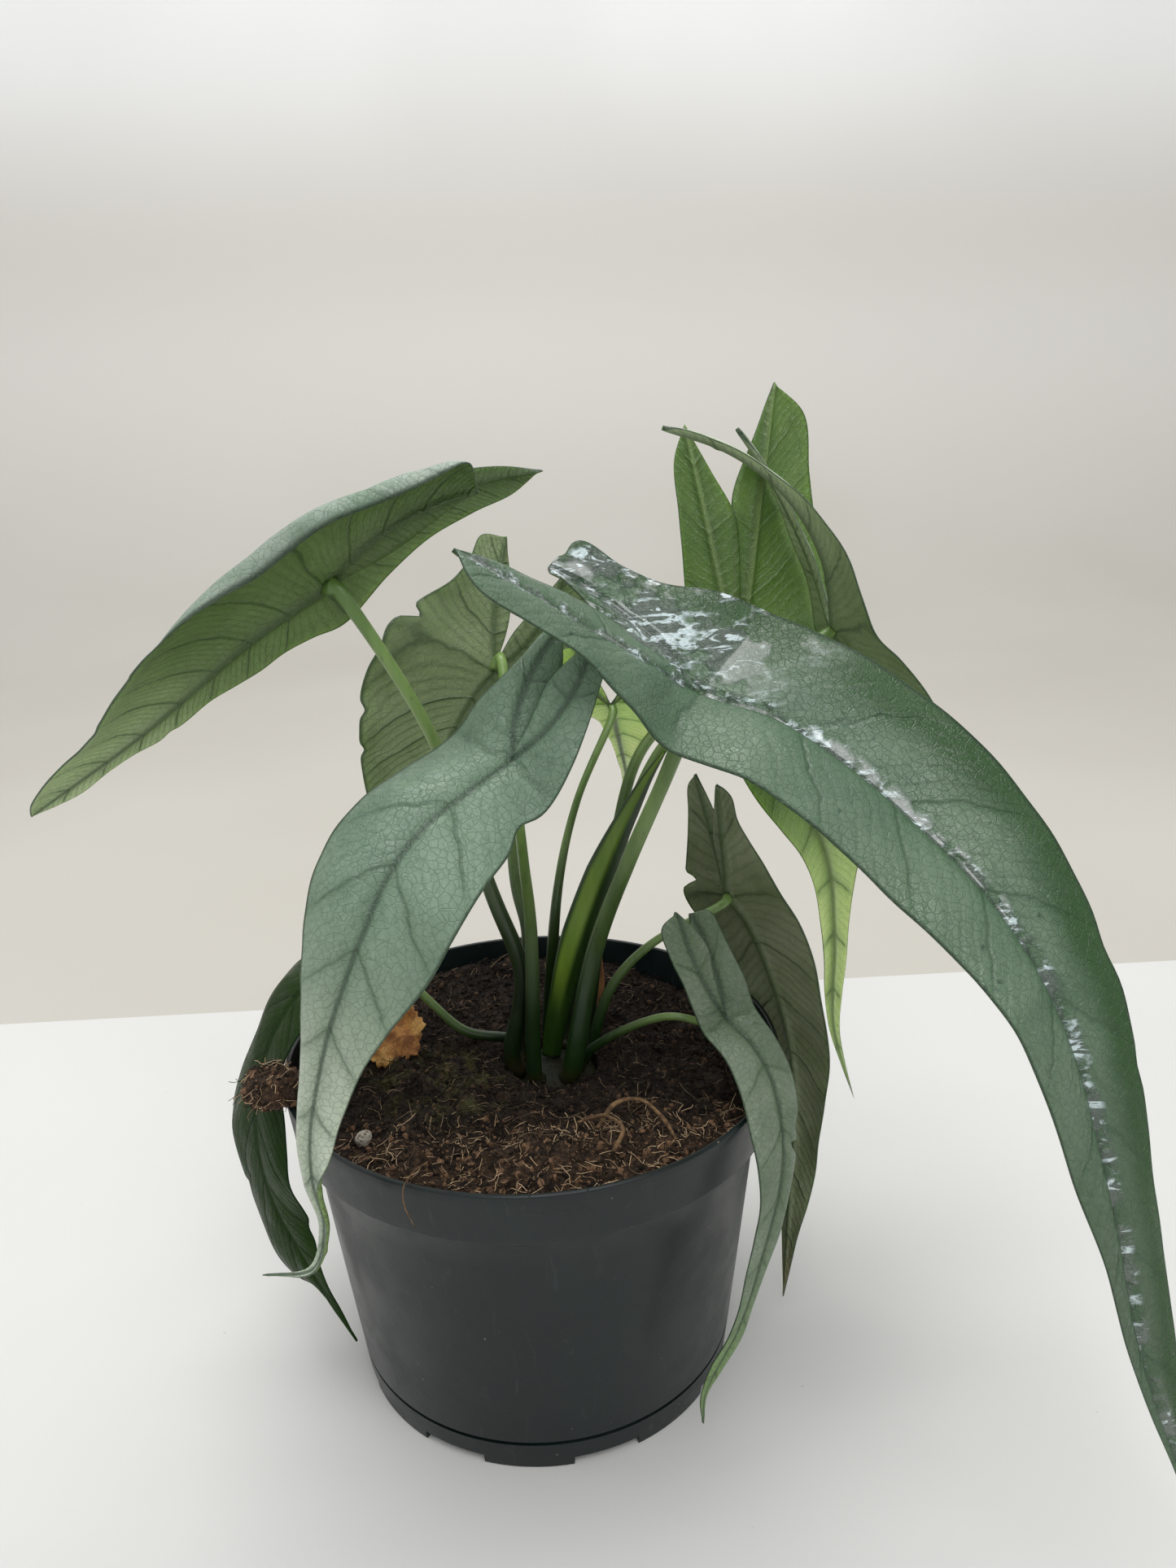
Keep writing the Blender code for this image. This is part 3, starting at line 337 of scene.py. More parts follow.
# Rib, back lobe tips and half widths are millimetres; pairs are the two halves of the blade
plainShape = dict(bow=(0.1, 0.1), lift=(0.0, 0.0), shoulder=(0.62, 0.62), web=0.85,
                  fold=(0.2, 0.2), arch=(-0.2, -0.2), wave=0.8, laterals=7, dips=[], curls=[])
leaves = {
    "upper_left": dict(
        rib=[(-46, 0, 229), (-66, -8, 217), (-90, -14, 199), (-119, -20, 180)],
        lobes=[(-6, -8, 252), (10, 20, 255)], bow=(0.1, -0.12), inner=(5, 6),
        face=[(-0.3, 0.8, 0.4), (-0.35, 0.8, 0.45)],
        wide=[(20, 32, 26, 18, 11, 7), (10, 11, 8.5, 6, 4, 3)],
        fold=(0.35, 0.1), arch=(-0.7, -0.2), laterals=8,
        curls=[{"side": 0, "from": -0.95, "to": 0.45, "share": 0.76, "angle": -120}],
        dips=[(0, 0.33, 0.05, 0.02), (0, 0.62, 0.06, 0.02), (1, 0.55, 0.08, 0.02)]),
    "front_left": dict(
        rib=[(-2, -38, 193), (-25, -58, 181), (-39, -68, 156), (-47, -69, 134),
             (-52, -68, 110), (-51, -66, 88), (-57, -66, 77), (-66, -68, 80)],
        lobes=[(19, -34, 220), (12, -28, 222)], inner=(9, 9),
        face=[(-0.1, -0.75, 0.65), (-0.1, -0.95, 0.3), (-0.2, -0.95, 0.1)],
        wide=[(7, 15, 21, 11, 4.5, 1.5), (6, 17, 19, 7.5, 3, 1.2)],
        fold=(0.1, 0.2), arch=(-0.2, -0.6), laterals=8,
        curls=[{"side": 0, "from": 0.66, "to": 0.99, "share": 0.3, "angle": 150}],
        dips=[(0, 0.06, 0.14, 0.025)]),
    "front_right": dict(
        rib=[(44, -30, 205), (67, -46, 197), (98, -70, 169), (112, -86, 143),
             (120, -98, 108), (126, -106, 74), (136, -110, 44), (142, -112, 24)],
        lobes=[(10, -5, 233), (-11, -44, 243)], bow=(0.08, 0.0), inner=(9, 9),
        shoulder=(0.78, 0.7),
        face=[(0.05, -0.45, 0.9), (0.5, -0.75, 0.4), (0.45, -0.85, 0.25)],
        wide=[(13, 28, 25, 15, 10, 3.5), (13, 23, 21.5, 14.5, 5, 1.2)],
        fold=(0.42, 0.2), arch=(-0.14, -0.25), laterals=9,
        dips=[(0, -0.9, 0.2, 0.03), (0, 0.4, 0.04, 0.02), (0, 0.5, 0.05, 0.015)]),
    "back_left": dict(
        rib=[(-6, 45, 197), (-15, 44, 186), (-26, 40, 167), (-36, 36, 144)],
        lobes=[(0, 56, 234), (16, 46, 224)], bow=(0.05, 0.1), inner=(5, 5),
        face=[(0.1, 0.8, 0.55), (0.1, 0.9, 0.3)],
        wide=[(13, 35, 32, 24, 14, 6), (13, 20, 20, 16, 10, 5)],
        fold=(0.15, 0.15), wave=1.2, laterals=6,
        dips=[(0, -0.12, 0.16, 0.04), (0, 0.3, 0.05, 0.02), (0, 0.45, 0.05, 0.02)]),
    "back_top": dict(
        rib=[(69, 50, 192), (84, 58, 160), (101, 62, 126), (105, 62, 92),
             (105, 60, 62), (112, 55, 34)],
        lobes=[(55, 66, 264), (83, 72, 275)], bow=(0.0, 0.0), inner=(12, 12), web=0.6,
        face=[(-0.1, 0.85, 0.5), (0.2, 0.95, 0.2)],
        wide=[(10, 14, 14, 7, 3.5, 1.2), (20, 38, 27, 8.5, 4, 1.2)],
        fold=(0.15, 0.15), laterals=8),
    "right_edge": dict(
        rib=[(93, 30, 206), (112, 24, 182), (130, 14, 157), (140, 4, 130), (144, -4, 106)],
        lobes=[(70, 58, 263), (43, 24, 265)], bow=(0.1, 0.14), inner=(4, 3),
        face=[(0.55, 0.35, 0.75), (0.7, 0.4, 0.5)],
        lobe_face=[(0.7, 0.0, 0.7), (0.75, -0.05, 0.65)], lift=(0.1, 0.13),
        wide=[(9, 18, 18, 14, 8, 3), (8, 22, 20, 15, 9, 3)],
        arch=(-0.25, -0.2), wave=0.6),
    "back_centre": dict(
        rib=[(28, 36, 187), (32, 60, 171), (36, 78, 152), (36, 88, 141)],
        lobes=[(18, 18, 208), (40, 18, 210)], inner=(3, 3),
        face=[(0, 0.4, 0.9), (0, 0.8, 0.6)],
        wide=[(8, 9, 5, 3, 2, 1.2), (12, 18, 16, 9, 3, 1.2)],
        fold=(0.15, 0.15), wave=0.6, laterals=5),
    "low_left": dict(
        rib=[(-52, 5, 127), (-64, 2, 117), (-74, -1, 102), (-79, -6, 82), (-76, -14, 63),
             (-66, -22, 44), (-54, -28, 22)],
        lobes=[(-40, -4, 140), (-56, 18, 142)], inner=(3, 3),
        face=[(-0.5, -0.1, 0.85), (-0.85, -0.5, 0.2), (-0.7, -0.7, 0.1)],
        wide=[(8, 13, 15, 21, 9, 2), (12, 20, 22, 27, 15, 2.5)],
        fold=(0.1, 0.1), wave=1.2,
        dips=[(1, 0.53, 0.3, 0.02), (1, 0.4, 0.08, 0.02), (0, 0.66, 0.1, 0.03)]),
    "hang_back": dict(
        rib=[(58, 8, 136), (67, 12, 120), (77, 14, 90), (80, 12, 64), (77, 4, 34), (73, -6, 6)],
        lobes=[(50, 14, 171), (54, 4, 171)], bow=(0, 0), inner=(3, 3),
        face=[(0.5, 0.8, 0.35), (0.8, 0.6, 0.1), (0.75, 0.65, 0.0)],
        wide=[(8, 16, 15, 12, 6, 2), (7, 17, 17, 13, 8, 3)],
       
        dips=[(0, -0.1, 0.3, 0.03)]),
    "hang_front": dict(
        rib=[(52, -22, 113), (57, -30, 110), (61, -39, 103), (62, -45, 93), (61, -50, 82),
             (55, -55, 62), (48, -58, 42), (40, -60, 28), (39, -60, 16)],
        lobes=[(44, -12, 140), (39, -22, 145)], bow=(0.05, 0.05), inner=(7, 7),
        shoulder=(0.8, 0.9),
        face=[(0.3, -0.8, 0.5), (0.6, -0.75, 0.3), (0.6, -0.75, 0.1), (0.5, -0.8, 0.1)],
        wide=[(7, 9, 6, 4, 3, 1.8), (7, 9, 12, 6, 4, 1.8)],
        wave=0.5,
        dips=[(0, 0.31, 0.6, 0.010), (0, 0.27, 0.2, 0.02)]),
}
bladeKnots = (0.0, 0.25, 0.5, 0.75, 0.9, 1.0)
lobeKnots = (0.0, 0.5, 0.85, 1.0)
leafMake = {"lobeSteps": 5, "bladeSteps": 12, "sideSteps": 3,
            "finer": 9, "finerAcross": 8, "innerSteps": 4,
            "thickness": 0.55, "ribBelow": 0.85, "ribChannel": 0.45, "quilt": 0.5,
            "marginRuffle": 0.45}


def leafCage(leaf):
    # the coarse shape of both halves: rows from each back tip over the joint to the drip tip
    nLobe, nBlade, nSide = leafMake["lobeSteps"], leafMake["bladeSteps"], leafMake["sideSteps"]
    rib = spline(leaf["rib"], nBlade)
    ribT = tangents(rib)
    ribF = squareTo(along(leaf["face"], nBlade), ribT)
    joint = rib[0]
    tau = np.linspace(1, 0, nLobe + 1)[:, None]
    hump = 4 * tau * (1 - tau)
    veins = []
    for side, s in enumerate((1.0, -1.0)):
        reach = np.asarray(leaf["lobes"][side], float) - joint
        length = np.linalg.norm(reach)
        outJoint = s * np.cross(ribF[0], ribT[0])
        lift = leaf["lift"][side] * length
        veins.append(joint + reach * tau
                     + (outJoint * leaf["bow"][side] * length + ribF[0] * lift) * hump)
    spread = np.linalg.norm(veins[0] - veins[1], axis=1)
    halves = []
    for side, s in enumerate((1.0, -1.0)):
        vein = veins[side]
        veinT = tangents(vein)
        twist = np.asarray(leaf.get("lobe_face", (leaf["face"][0],) * 2)[side], float)
        veinF = squareTo(twist * tau + ribF[0] * (1 - tau), veinT)
        axis = np.concatenate([vein[:-1], rib])
        axT = np.concatenate([veinT[:-1], ribT])
        axF = np.concatenate([veinF[:-1], ribF])
        count = len(axis) - 1
        u = np.linspace(0, 1, nBlade + 1)
        lean = np.concatenate([-0.25 - 0.75 * tau[:-1, 0], 0.15 + 0.75 * u])
        out = s * np.cross(axF, axT)
        way = unit(out + axT * lean[:, None])
        low, high = max(1, nLobe - 2), min(count, nLobe + 3)
        for _ in range(3):
            softWay, softF = way.copy(), axF.copy()
            softWay[1:-1] = unit(way[:-2] + 2 * way[1:-1] + way[2:])
            softF[1:-1] = unit(axF[:-2] + 2 * axF[1:-1] + axF[2:])
            way[low:high] = softWay[low:high]
            axF[low:high] = softF[low:high]
        lobeMid, atJoint = leaf["wide"][side][:2]
        wBlade = flow(u, bladeKnots, leaf["wide"][side][1:] + (0.0,))
        shoulder = leaf["shoulder"][side]
        wLobe = flow(tau[:-1, 0], lobeKnots, (atJoint, lobeMid, shoulder * lobeMid, 0.0))
        width = np.maximum(np.concatenate([wLobe, wBlade]), 0.0)
        inner = leaf["inner"][side] * np.sin(math.pi * tau[:, 0] ** leaf["web"])
        inner = np.minimum(inner, 0.53 * spread + 0.4)
        fold, arch = leaf["fold"][side], leaf["arch"][side]
        p = np.arange(count + 1) / count
        q = np.arange(nSide + 1) / nSide
        rise = width[:, None] * (fold * q + arch * q * q)
        rise = rise + (leaf["wave"] * q * q * np.sin(2 * math.pi * 5.0 * p + 2.0 * side)[:, None]
                       * np.minimum(1.0, width / (0.4 * atJoint))[:, None])
        grid = (axis[:, None] + way[:, None] * (width[:, None] * q)[..., None]
                + axF[:, None] * rise[..., None])
        innerEdge = (axis[:nLobe + 1] - out[:nLobe + 1] * inner[:, None]
                     + axF[:nLobe + 1] * (inner * (fold + arch))[:, None])
        halves.append((grid, innerEdge, width))
    return halves


def finerRows(rows, k):
    # rows refined k times along the first axis, passing through every given one
    p = np.concatenate([2 * rows[:1] - rows[1:2], rows, 2 * rows[-1:] - rows[-2:-1]])
    t = (np.arange(k) / k).reshape((k,) + (1,) * (rows.ndim - 1))
    return np.concatenate([bend(*p[i - 1:i + 3], t) for i in range(1, len(p) - 2)] + [rows[-1:]])


def readAcross(rows, at):
    # points across each row, at places from 0 to the last column
    last = rows.shape[1] - 1
    p = np.concatenate([2 * rows[:, :1] - rows[:, 1:2], rows, 2 * rows[:, -1:] - rows[:, -2:-1]],
                       axis=1)
    k = np.clip(at.astype(int), 0, last - 1)
    t = (at - k)[..., None]
    n = np.arange(len(rows))[:, None]
    return bend(p[n, k], p[n, k + 1], p[n, k + 2], p[n, k + 3], t)


def curlMargin(sheet, axis, s, share, place, curl):
    # roll the outer part of one half; positive angles roll towards the upper side
    start, full = curl["share"], math.radians(curl["angle"])
    at = int(np.searchsorted(share, start))
    ahead = tangents(axis)
    soft = 0.3 * (curl["to"] - curl["from"])
    amount = (smoothStep(curl["from"], curl["from"] + soft, place)
              * smoothStep(curl["to"], curl["to"] - soft, place))
    for i in np.nonzero(amount > 0.01)[0]:
        base = sheet[i, at]
        out = unit(sheet[i, at] - sheet[i, at - 1])
        up = s * unit(np.cross(ahead[i], out))
        reach = runLength(sheet[i, at:])
        if reach[-1] < 0.3:
            continue
        angle = full * amount[i]
        radius = reach[-1] / abs(angle)
        turn = reach / radius
        sheet[i, at:] = (base + out * (radius * np.sin(turn))[:, None]
                         + up * (math.copysign(radius, angle) * (1 - np.cos(turn)))[:, None])
    return sheet


def leafSurface(name, leaf):
    # fine middle surface with everything the blade's pattern needs at each point
    k, across, inside = leafMake["finer"], leafMake["finerAcross"], leafMake["innerSteps"]
    nLobe = leafMake["lobeSteps"] * k
    columns = leafMake["sideSteps"] * across
    seed = sum(map(ord, name))
    verts, info, index, faces = [], [], {}, []
    for side, s in enumerate((1.0, -1.0)):
        grid, innerEdge, width = leafCage(leaf)[side]
        rows = finerRows(grid, k)
        edge = finerRows(innerEdge, k)
        wide = np.maximum(finerRows(width[:, None], k)[:, 0], 0.0)
        count = len(rows) - 1
        axis = rows[:, 0]
        run = runLength(axis)
        run = run - run[nLobe]
        blade, lobe = run[-1], -run[0]
        place = np.where(run >= 0, run / blade, run / lobe)
        cut = np.zeros(count + 1)
        for dipSide, at, depth, spread in leaf["dips"]:
            if dipSide == side:
                cut = np.maximum(cut, depth * np.exp(-((place - at) / spread) ** 2))
        wander = ripple(np.stack([run * 0.16, run * 0, run * 0 + side], 1), 1.0, seed + side)
        cut = np.clip(cut + 0.025 * (1 + wander) * smoothStep(0, 0.15, 1 - np.abs(place)), 0, 0.9)
        q = np.linspace(0, 1, columns + 1)
        mesh = readAcross(rows, (columns / across) * q[None] * (1 - cut[:, None]))
        for curl in leaf["curls"]:
            if curl["side"] == side:
                mesh = curlMargin(mesh, axis, s, q, place, curl)
        gap = blade / leaf["laterals"]
        for i in range(count + 1):
            first = -inside if i <= nLobe else 0
            for j in range(first, columns + 1):
                if j >= 0:
                    point, share, reach = mesh[i, j], q[j], wide[i] * q[j]
                else:
                    share = -j / inside
                    point = axis[i] * (1 - share) + edge[i] * share
                    reach = np.linalg.norm(edge[i] - axis[i]) * share
                middle = i >= nLobe and j <= 0
                if i == 0:
                    key = (side, 0, 0)
                elif i == count or middle:
                    key = ("rib", i)
                else:
                    key = (side, i, j)
                if key not in index:
                    index[key] = len(verts)
                    verts.append(point)
                    swing = math.tanh(run[i] / 20.0)
                    phase = (run[i] - swing * (0.55 * reach + 0.006 * reach ** 2)) / gap
                    info.append((phase, share, reach, place[i], run[i], 2.0 * side - 1.0,
                                 wide[i]))
                index[(side, i, j)] = index[key]
        for i in range(count):
            low = -inside if i < nLobe else 0
            for j in range(low, columns):
                ring = [index[(side, i, j)], index[(side, i + 1, j)],
                        index[(side, i + 1, j + 1)], index[(side, i, j + 1)]]
                clean = [a for m, a in enumerate(ring) if a != ring[m - 1]]
                if len(clean) >= 3:
                    faces.append(clean if s > 0 else clean[::-1])
    return np.array(verts), faces, np.array(info), seed


def sheetNormals(verts, faces):
    total = np.zeros_like(verts)
    for size in (3, 4):
        some = np.array([f for f in faces if len(f) == size])
        if len(some) == 0:
            continue
        p = verts[some]
        n = np.zeros((len(some), 3))
        for k in range(size):
            n += np.cross(p[:, k], p[:, (k + 1) % size])
        for k in range(size):
            np.add.at(total, some[:, k], n)
    return unit(total)


def thicken(top, under, faces):
    count = len(top)
    out = [list(f) for f in faces] + [[i + count for i in f][::-1] for f in faces]
    kinds = [0] * len(faces) + [1] * len(faces)
    used = {}
    for f in faces:
        for a, b in zip(f, f[1:] + f[:1]):
            used[(a, b)] = 1
    for a, b in used:
        if (b, a) not in used:
            out.append([b, a, a + count, b + count])
            kinds.append(0)
    return np.concatenate([top, under]), out, kinds


def leafMaterial(name, look, under):
    # veined blade: colour fields, lateral veins on the vein map, fine net on the surface
    look = {key: paint(*value) if np.size(value) == 3 else value for key, value in look.items()}
    m = Shade(name, **{"Subsurface Weight": look["glow"], "Subsurface Radius": (0.8, 1.0, 0.5),
                       "Subsurface Scale": look["deep"], "Specular IOR Level": look["sheen"]})
    m.shader.subsurface_method = "RANDOM_WALK"
    uv = m.add("ShaderNodeUVMap", {}, uv_map="veins")[0]
    phase, share = m.parts(uv)[:2]
    reach, place = m.mark("reach"), m.mark("place")
    phase = m.plus(phase, m.math("MULTIPLY_ADD", m.noise(120, 2), 0.22, -0.11))

    def fromStripe(value):
        return m.math("ABSOLUTE", m.math("SUBTRACT", m.math("FRACT", value), 0.5))

    line = fromStripe(m.plus(phase, 100.5))
    lateral = m.stretch(line, m.stretch(share, 0.0, 1.0, 0.06, 0.03, "LINEAR"), 0.0)
    lateral = m.times(lateral, m.stretch(share, 0.98, 0.7))
    rib = m.stretch(reach, m.stretch(place, 0.0, 1.0, 1.5, 0.6), 0.15)
    bent = m.warp(260, 0.0016)
    net = m.stretch(m.cells(520, "DISTANCE_TO_EDGE", bent), 0.09, 0.0)
    fineNet = m.stretch(m.cells(1300, "DISTANCE_TO_EDGE", bent), 0.14, 0.0)
    minorLine = fromStripe(m.math("MULTIPLY_ADD", phase, look["minors"], 300.5))
    minor = m.times(m.stretch(minorLine, 0.3, 0.0), m.stretch(share, 0.0, 0.15))
    base = m.mottle(m.noise(38, 3, 0.6, 0.4), look["base"], look["shade"], 0.38, 0.66)
    base = m.tint(base, m.stretch(m.noise(14, 2), 0.45, 0.7), look["patchy"], look["patch"])
    # tip colour: on some blades the tip's own colour, such as a dried brown tip; on the pale ones,
    # painted light standing for light shining through the blade
    if "tip" in look:
        base = m.mottle(place, base, look["tip"], *look["tipSpan"])
    if "back" in look:
        base = m.mottle(place, base, look["back"], 0.05, -0.9)
    for amount, strength, colour in (
            (m.noise(700, 3, 0.7), "grain", "light"),
            (m.stretch(line, 0.2, 0.0), "broad", "patch"),
            (fineNet, "fine", "vein"), (net, "netDark", "vein"), (minor, "minorDark", "vein"),
            (lateral, "lateralDark", "vein"), (m.stretch(reach, 5.0, 0.0), "ribShade", "patch"),
            (rib, "ribDark", "rib")):
        base = m.tint(base, amount, look[strength], look[colour])
    upper = m.stretch(m.mark("half"), 0.0, -0.1)
    if "green" in look:
        green = m.stretch(m.plus(share, m.times(m.noise(42, 3), 0.5)), 0.5, 1.05)
        base = m.blend(m.times(green, upper), base, look["green"])
    if "specks" in look:
        dots = m.times(m.stretch(m.cells(170), 0.16, 0.06), m.stretch(m.noise(45, 2), 0.5, 0.62))
        base = m.tint(base, dots, look["specks"], look["vein"])
    base = m.tint(base, m.stretch(share, 0.945, 0.99), 0.8, look["margin"])
    rough = look["rough"]
    gloss = m.stretch(m.noise(60, 4, 0.6, 1.0), 0.35, 0.65, rough + 0.12, rough - 0.1)
    height = m.math("MULTIPLY_ADD", m.noise(520, 3, 0.6), 0.35, 0.5)
    for line, depth in ((net, 0.3), (lateral, 0.7), (fineNet, 0.1), (minor, 0.35)):
        height = m.math("MULTIPLY_ADD", line, depth if under else -depth, height)
    if "wet" in look:
        # a wet, crinkled patch behind the joint, and beads along the rib, with painted highlights
        # in the wet
        wetNear = m.times(m.times(m.stretch(place, 0.1, -0.06), upper),
                          m.stretch(m.noise(85, 3), 0.44, 0.54))
        beads = m.times(m.stretch(reach, 4.0, 1.6), m.stretch(m.noise(200, 3), 0.4, 0.6))
        wetRib = m.times(beads, m.math("MAXIMUM", upper, m.stretch(place, 0.0, -0.1)))
        wet = m.math("MAXIMUM", wetNear, wetRib)
        gloss = m.math("MULTIPLY_ADD", m.math("SUBTRACT", 0.07, gloss), wet, gloss)
        base = m.tint(base, wet, 0.8, look["wet"])
        # painted highlight: streaks of a bright sky reflection painted into the wet patch's colour
        gleam = m.stretch(m.noise(240, 4, 0.6, 1.5, m.squeeze(0.5, 1.0, 1.6)), 0.53, 0.6)
        base = m.tint(base, wet, gleam, look["gleam"])
        for key, value in {"Weight": wet, "Roughness": 0.09, "IOR": 1.8}.items():
            m.put(m.shader.inputs["Coat " + key], value)
        crinkle = m.noise(300, 4, 0.65, 1.2, m.squeeze(0.6, 1.0, 1.4))
        height = m.math("MULTIPLY_ADD", m.times(wet, crinkle), 5.0, height)
    m.colour(base)
    m.rough(gloss)
    m.bump(height, 0.0005, 0.65)
    return m.mat


plainLook = dict(glow=0.3, deep=0.0013, sheen=0.5, rough=0.38, patchy=0.5, tipSpan=(0.5, 1.0),
                 grain=0.35, broad=0.25, fine=0.14, netDark=0.2, minorDark=0.16, minors=5.0,
                 lateralDark=0.45, ribShade=0.3, ribDark=0.75)
silver = dict(plainLook, base=(132, 153, 130), shade=(102, 130, 104), patch=(58, 90, 58),
              light=(176, 192, 176), vein=(48, 72, 52), margin=(26, 50, 26), rib=(46, 68, 48),
              minorDark=0.05, netDark=0.24, lateralDark=0.32)
olive = dict(plainLook, base=(124, 144, 96), shade=(102, 124, 74), patch=(78, 102, 52),
             light=(150, 164, 124), vein=(46, 68, 32), margin=(36, 58, 24), rib=(58, 82, 38),
             rough=0.42, netDark=0.12, patchy=0.35, fine=0.08, grain=0.25, minorDark=0.24,
             minors=6.0, glow=0.5)
# the upper side and the underside of each blade
leafLooks = {
    "upper_left": (
        dict(silver, base=(160, 172, 158), light=(196, 206, 196), glow=0.3),
        # underside: the pale tip is painted light shining through the blade
        dict(olive, base=(102, 120, 72), shade=(82, 102, 54), tip=(186, 196, 164),
             tipSpan=(0.25, 1.0), back=(62, 84, 38), glow=0.6, deep=0.002)),
    "front_left": (
        dict(silver, base=(108, 134, 110), shade=(84, 112, 88), patchy=0.5, back=(84, 116, 86),
             tip=(198, 206, 186), tipSpan=(0.3, 0.7)),
        dict(olive, base=(130, 154, 92), shade=(112, 138, 76))),
    "front_right": (
        # upper side: the gleam colour is a painted highlight, the sky reflected in the wet patch
        dict(silver, base=(86, 110, 84), light=(132, 152, 132), patchy=1.0, specks=0.9, rough=0.34,
             green=(34, 70, 24), wet=(36, 58, 44), gleam=(196, 212, 214), shade=(62, 90, 64),
             ribShade=0.6, tip=(52, 74, 44), tipSpan=(0.4, 0.75)),
        dict(olive, base=(110, 140, 78))),
    "back_left": (
        dict(silver),
        dict(olive, base=(132, 148, 106), shade=(108, 128, 80), patch=(70, 90, 46), minors=4.0)),
    "back_top": (
        dict(silver, base=(100, 134, 76)),
        # underside: the pale tip is painted light shining through the blade
        dict(olive, base=(82, 108, 40), shade=(62, 90, 28), patch=(54, 80, 26),
             vein=(104, 128, 72), rib=(112, 134, 78), light=(122, 152, 80), tip=(212, 226, 170),
             tipSpan=(0.2, 0.6), glow=0.7, deep=0.002, minorDark=0.12)),
    "right_edge": (
        # the pale back lobes on both sides are painted light, put where the lobe band lies in
        # shade
        dict(silver, base=(126, 146, 110), back=(200, 212, 178)),
        dict(olive, base=(116, 136, 90), shade=(94, 116, 64), patch=(72, 98, 44),
             back=(196, 210, 170), glow=0.5)),
    "back_centre": (
        dict(silver, base=(150, 178, 108)),
        # underside: its very pale colour and paler tip are partly its own colour and partly
        # painted light shining through the blade
        dict(olive, base=(204, 220, 156), shade=(186, 206, 132), tip=(236, 240, 212),
             tipSpan=(0.1, 0.8), glow=0.8, deep=0.0025, vein=(118, 142, 78))),
    "low_left": (
        dict(silver, base=(32, 54, 16), shade=(24, 44, 12), patch=(18, 36, 8), light=(48, 72, 30),
             vein=(20, 38, 10), rib=(28, 50, 16), rough=0.4, netDark=0.1, sheen=0.05, glow=0.1),
        dict(olive, base=(52, 76, 28), shade=(40, 62, 20), patch=(30, 50, 14), light=(72, 96, 48),
             vein=(22, 40, 10), rib=(32, 54, 18), rough=0.34, sheen=0.12)),
    "hang_back": (
        dict(silver, base=(104, 128, 90)),
        dict(olive, base=(140, 146, 118), shade=(116, 124, 92), patch=(88, 106, 62),
             tip=(128, 104, 82), tipSpan=(0.86, 0.95), rough=0.5)),
    "hang_front": (
        # upper side: the yellow-green tip is painted light shining through the blade
        dict(silver, base=(108, 120, 98), shade=(76, 94, 66), patch=(70, 98, 52),
             back=(70, 90, 54), tip=(104, 136, 52), tipSpan=(0.55, 0.9), patchy=0.6),
        dict(olive, base=(110, 138, 72))),
}


def makerName(name):
    first, *rest = name.split("_")
    return first + "".join(word.capitalize() for word in rest)


def makeLeaf(name):
    verts, faces, info, seed = leafSurface(name, dict(plainShape, **leaves[name]))
    phase, share, reach, place, run, half, wide = info.T
    normals = sheetNormals(verts, faces)
    room = np.minimum(1.0, wide / 12.0)
    swell = np.sqrt(np.abs(np.sin(np.pi * phase))) - 0.62
    body = smoothStep(0.03, 0.25, share) * smoothStep(1.0, 0.75, share)
    shift = leafMake["quilt"] * swell * body * room
    shift -= leafMake["ribChannel"] * np.exp(-(reach / 1.3) ** 2) * smoothStep(1.0, 0.7, place)
    shift += leafMake["marginRuffle"] * room * share ** 3 * ripple(
        np.stack([run, half * 40, reach * 0], 1), 0.45, seed)
    shift += 0.35 * room * ripple(verts, 0.22, seed + 5) * smoothStep(0.0, 0.3, share)
    verts = verts + normals * shift[:, None]
    thick = leafMake["thickness"] * (0.65 + 0.35 * smoothStep(1.0, 0.8, share))
    below = leafMake["ribBelow"] * np.exp(-(reach / 1.0) ** 2) * (1 - 0.75 * np.clip(place, 0, 1))
    below = below + 0.22 * np.exp(-((np.abs((phase + 0.5) % 1 - 0.5)) / 0.03) ** 2) * body
    top = verts + normals * (thick / 2)[:, None]
    under = verts - normals * (thick / 2 + below)[:, None]
    both, closed, kinds = thicken(top, under, faces)
    looks = leafLooks[name]
    plain = makerName("leaf_" + name)
    piece = makePiece(plain, both * mm, closed,
                      [leafMaterial(plain + "Upper", looks[0], False),
                       leafMaterial(plain + "Under", looks[1], True)],
                      kinds, uvs={"veins": np.tile(np.stack([phase, share], 1), (2, 1))},
                      marks={"reach": np.tile(reach, 2), "half": np.tile(half, 2),
                             "place": np.tile(place, 2)})
    hand(piece, "leaf", "leaf_" + name)


for leafName in leaves:
    makeLeaf(leafName)
print("leaves made:", len(leaves))


# stems

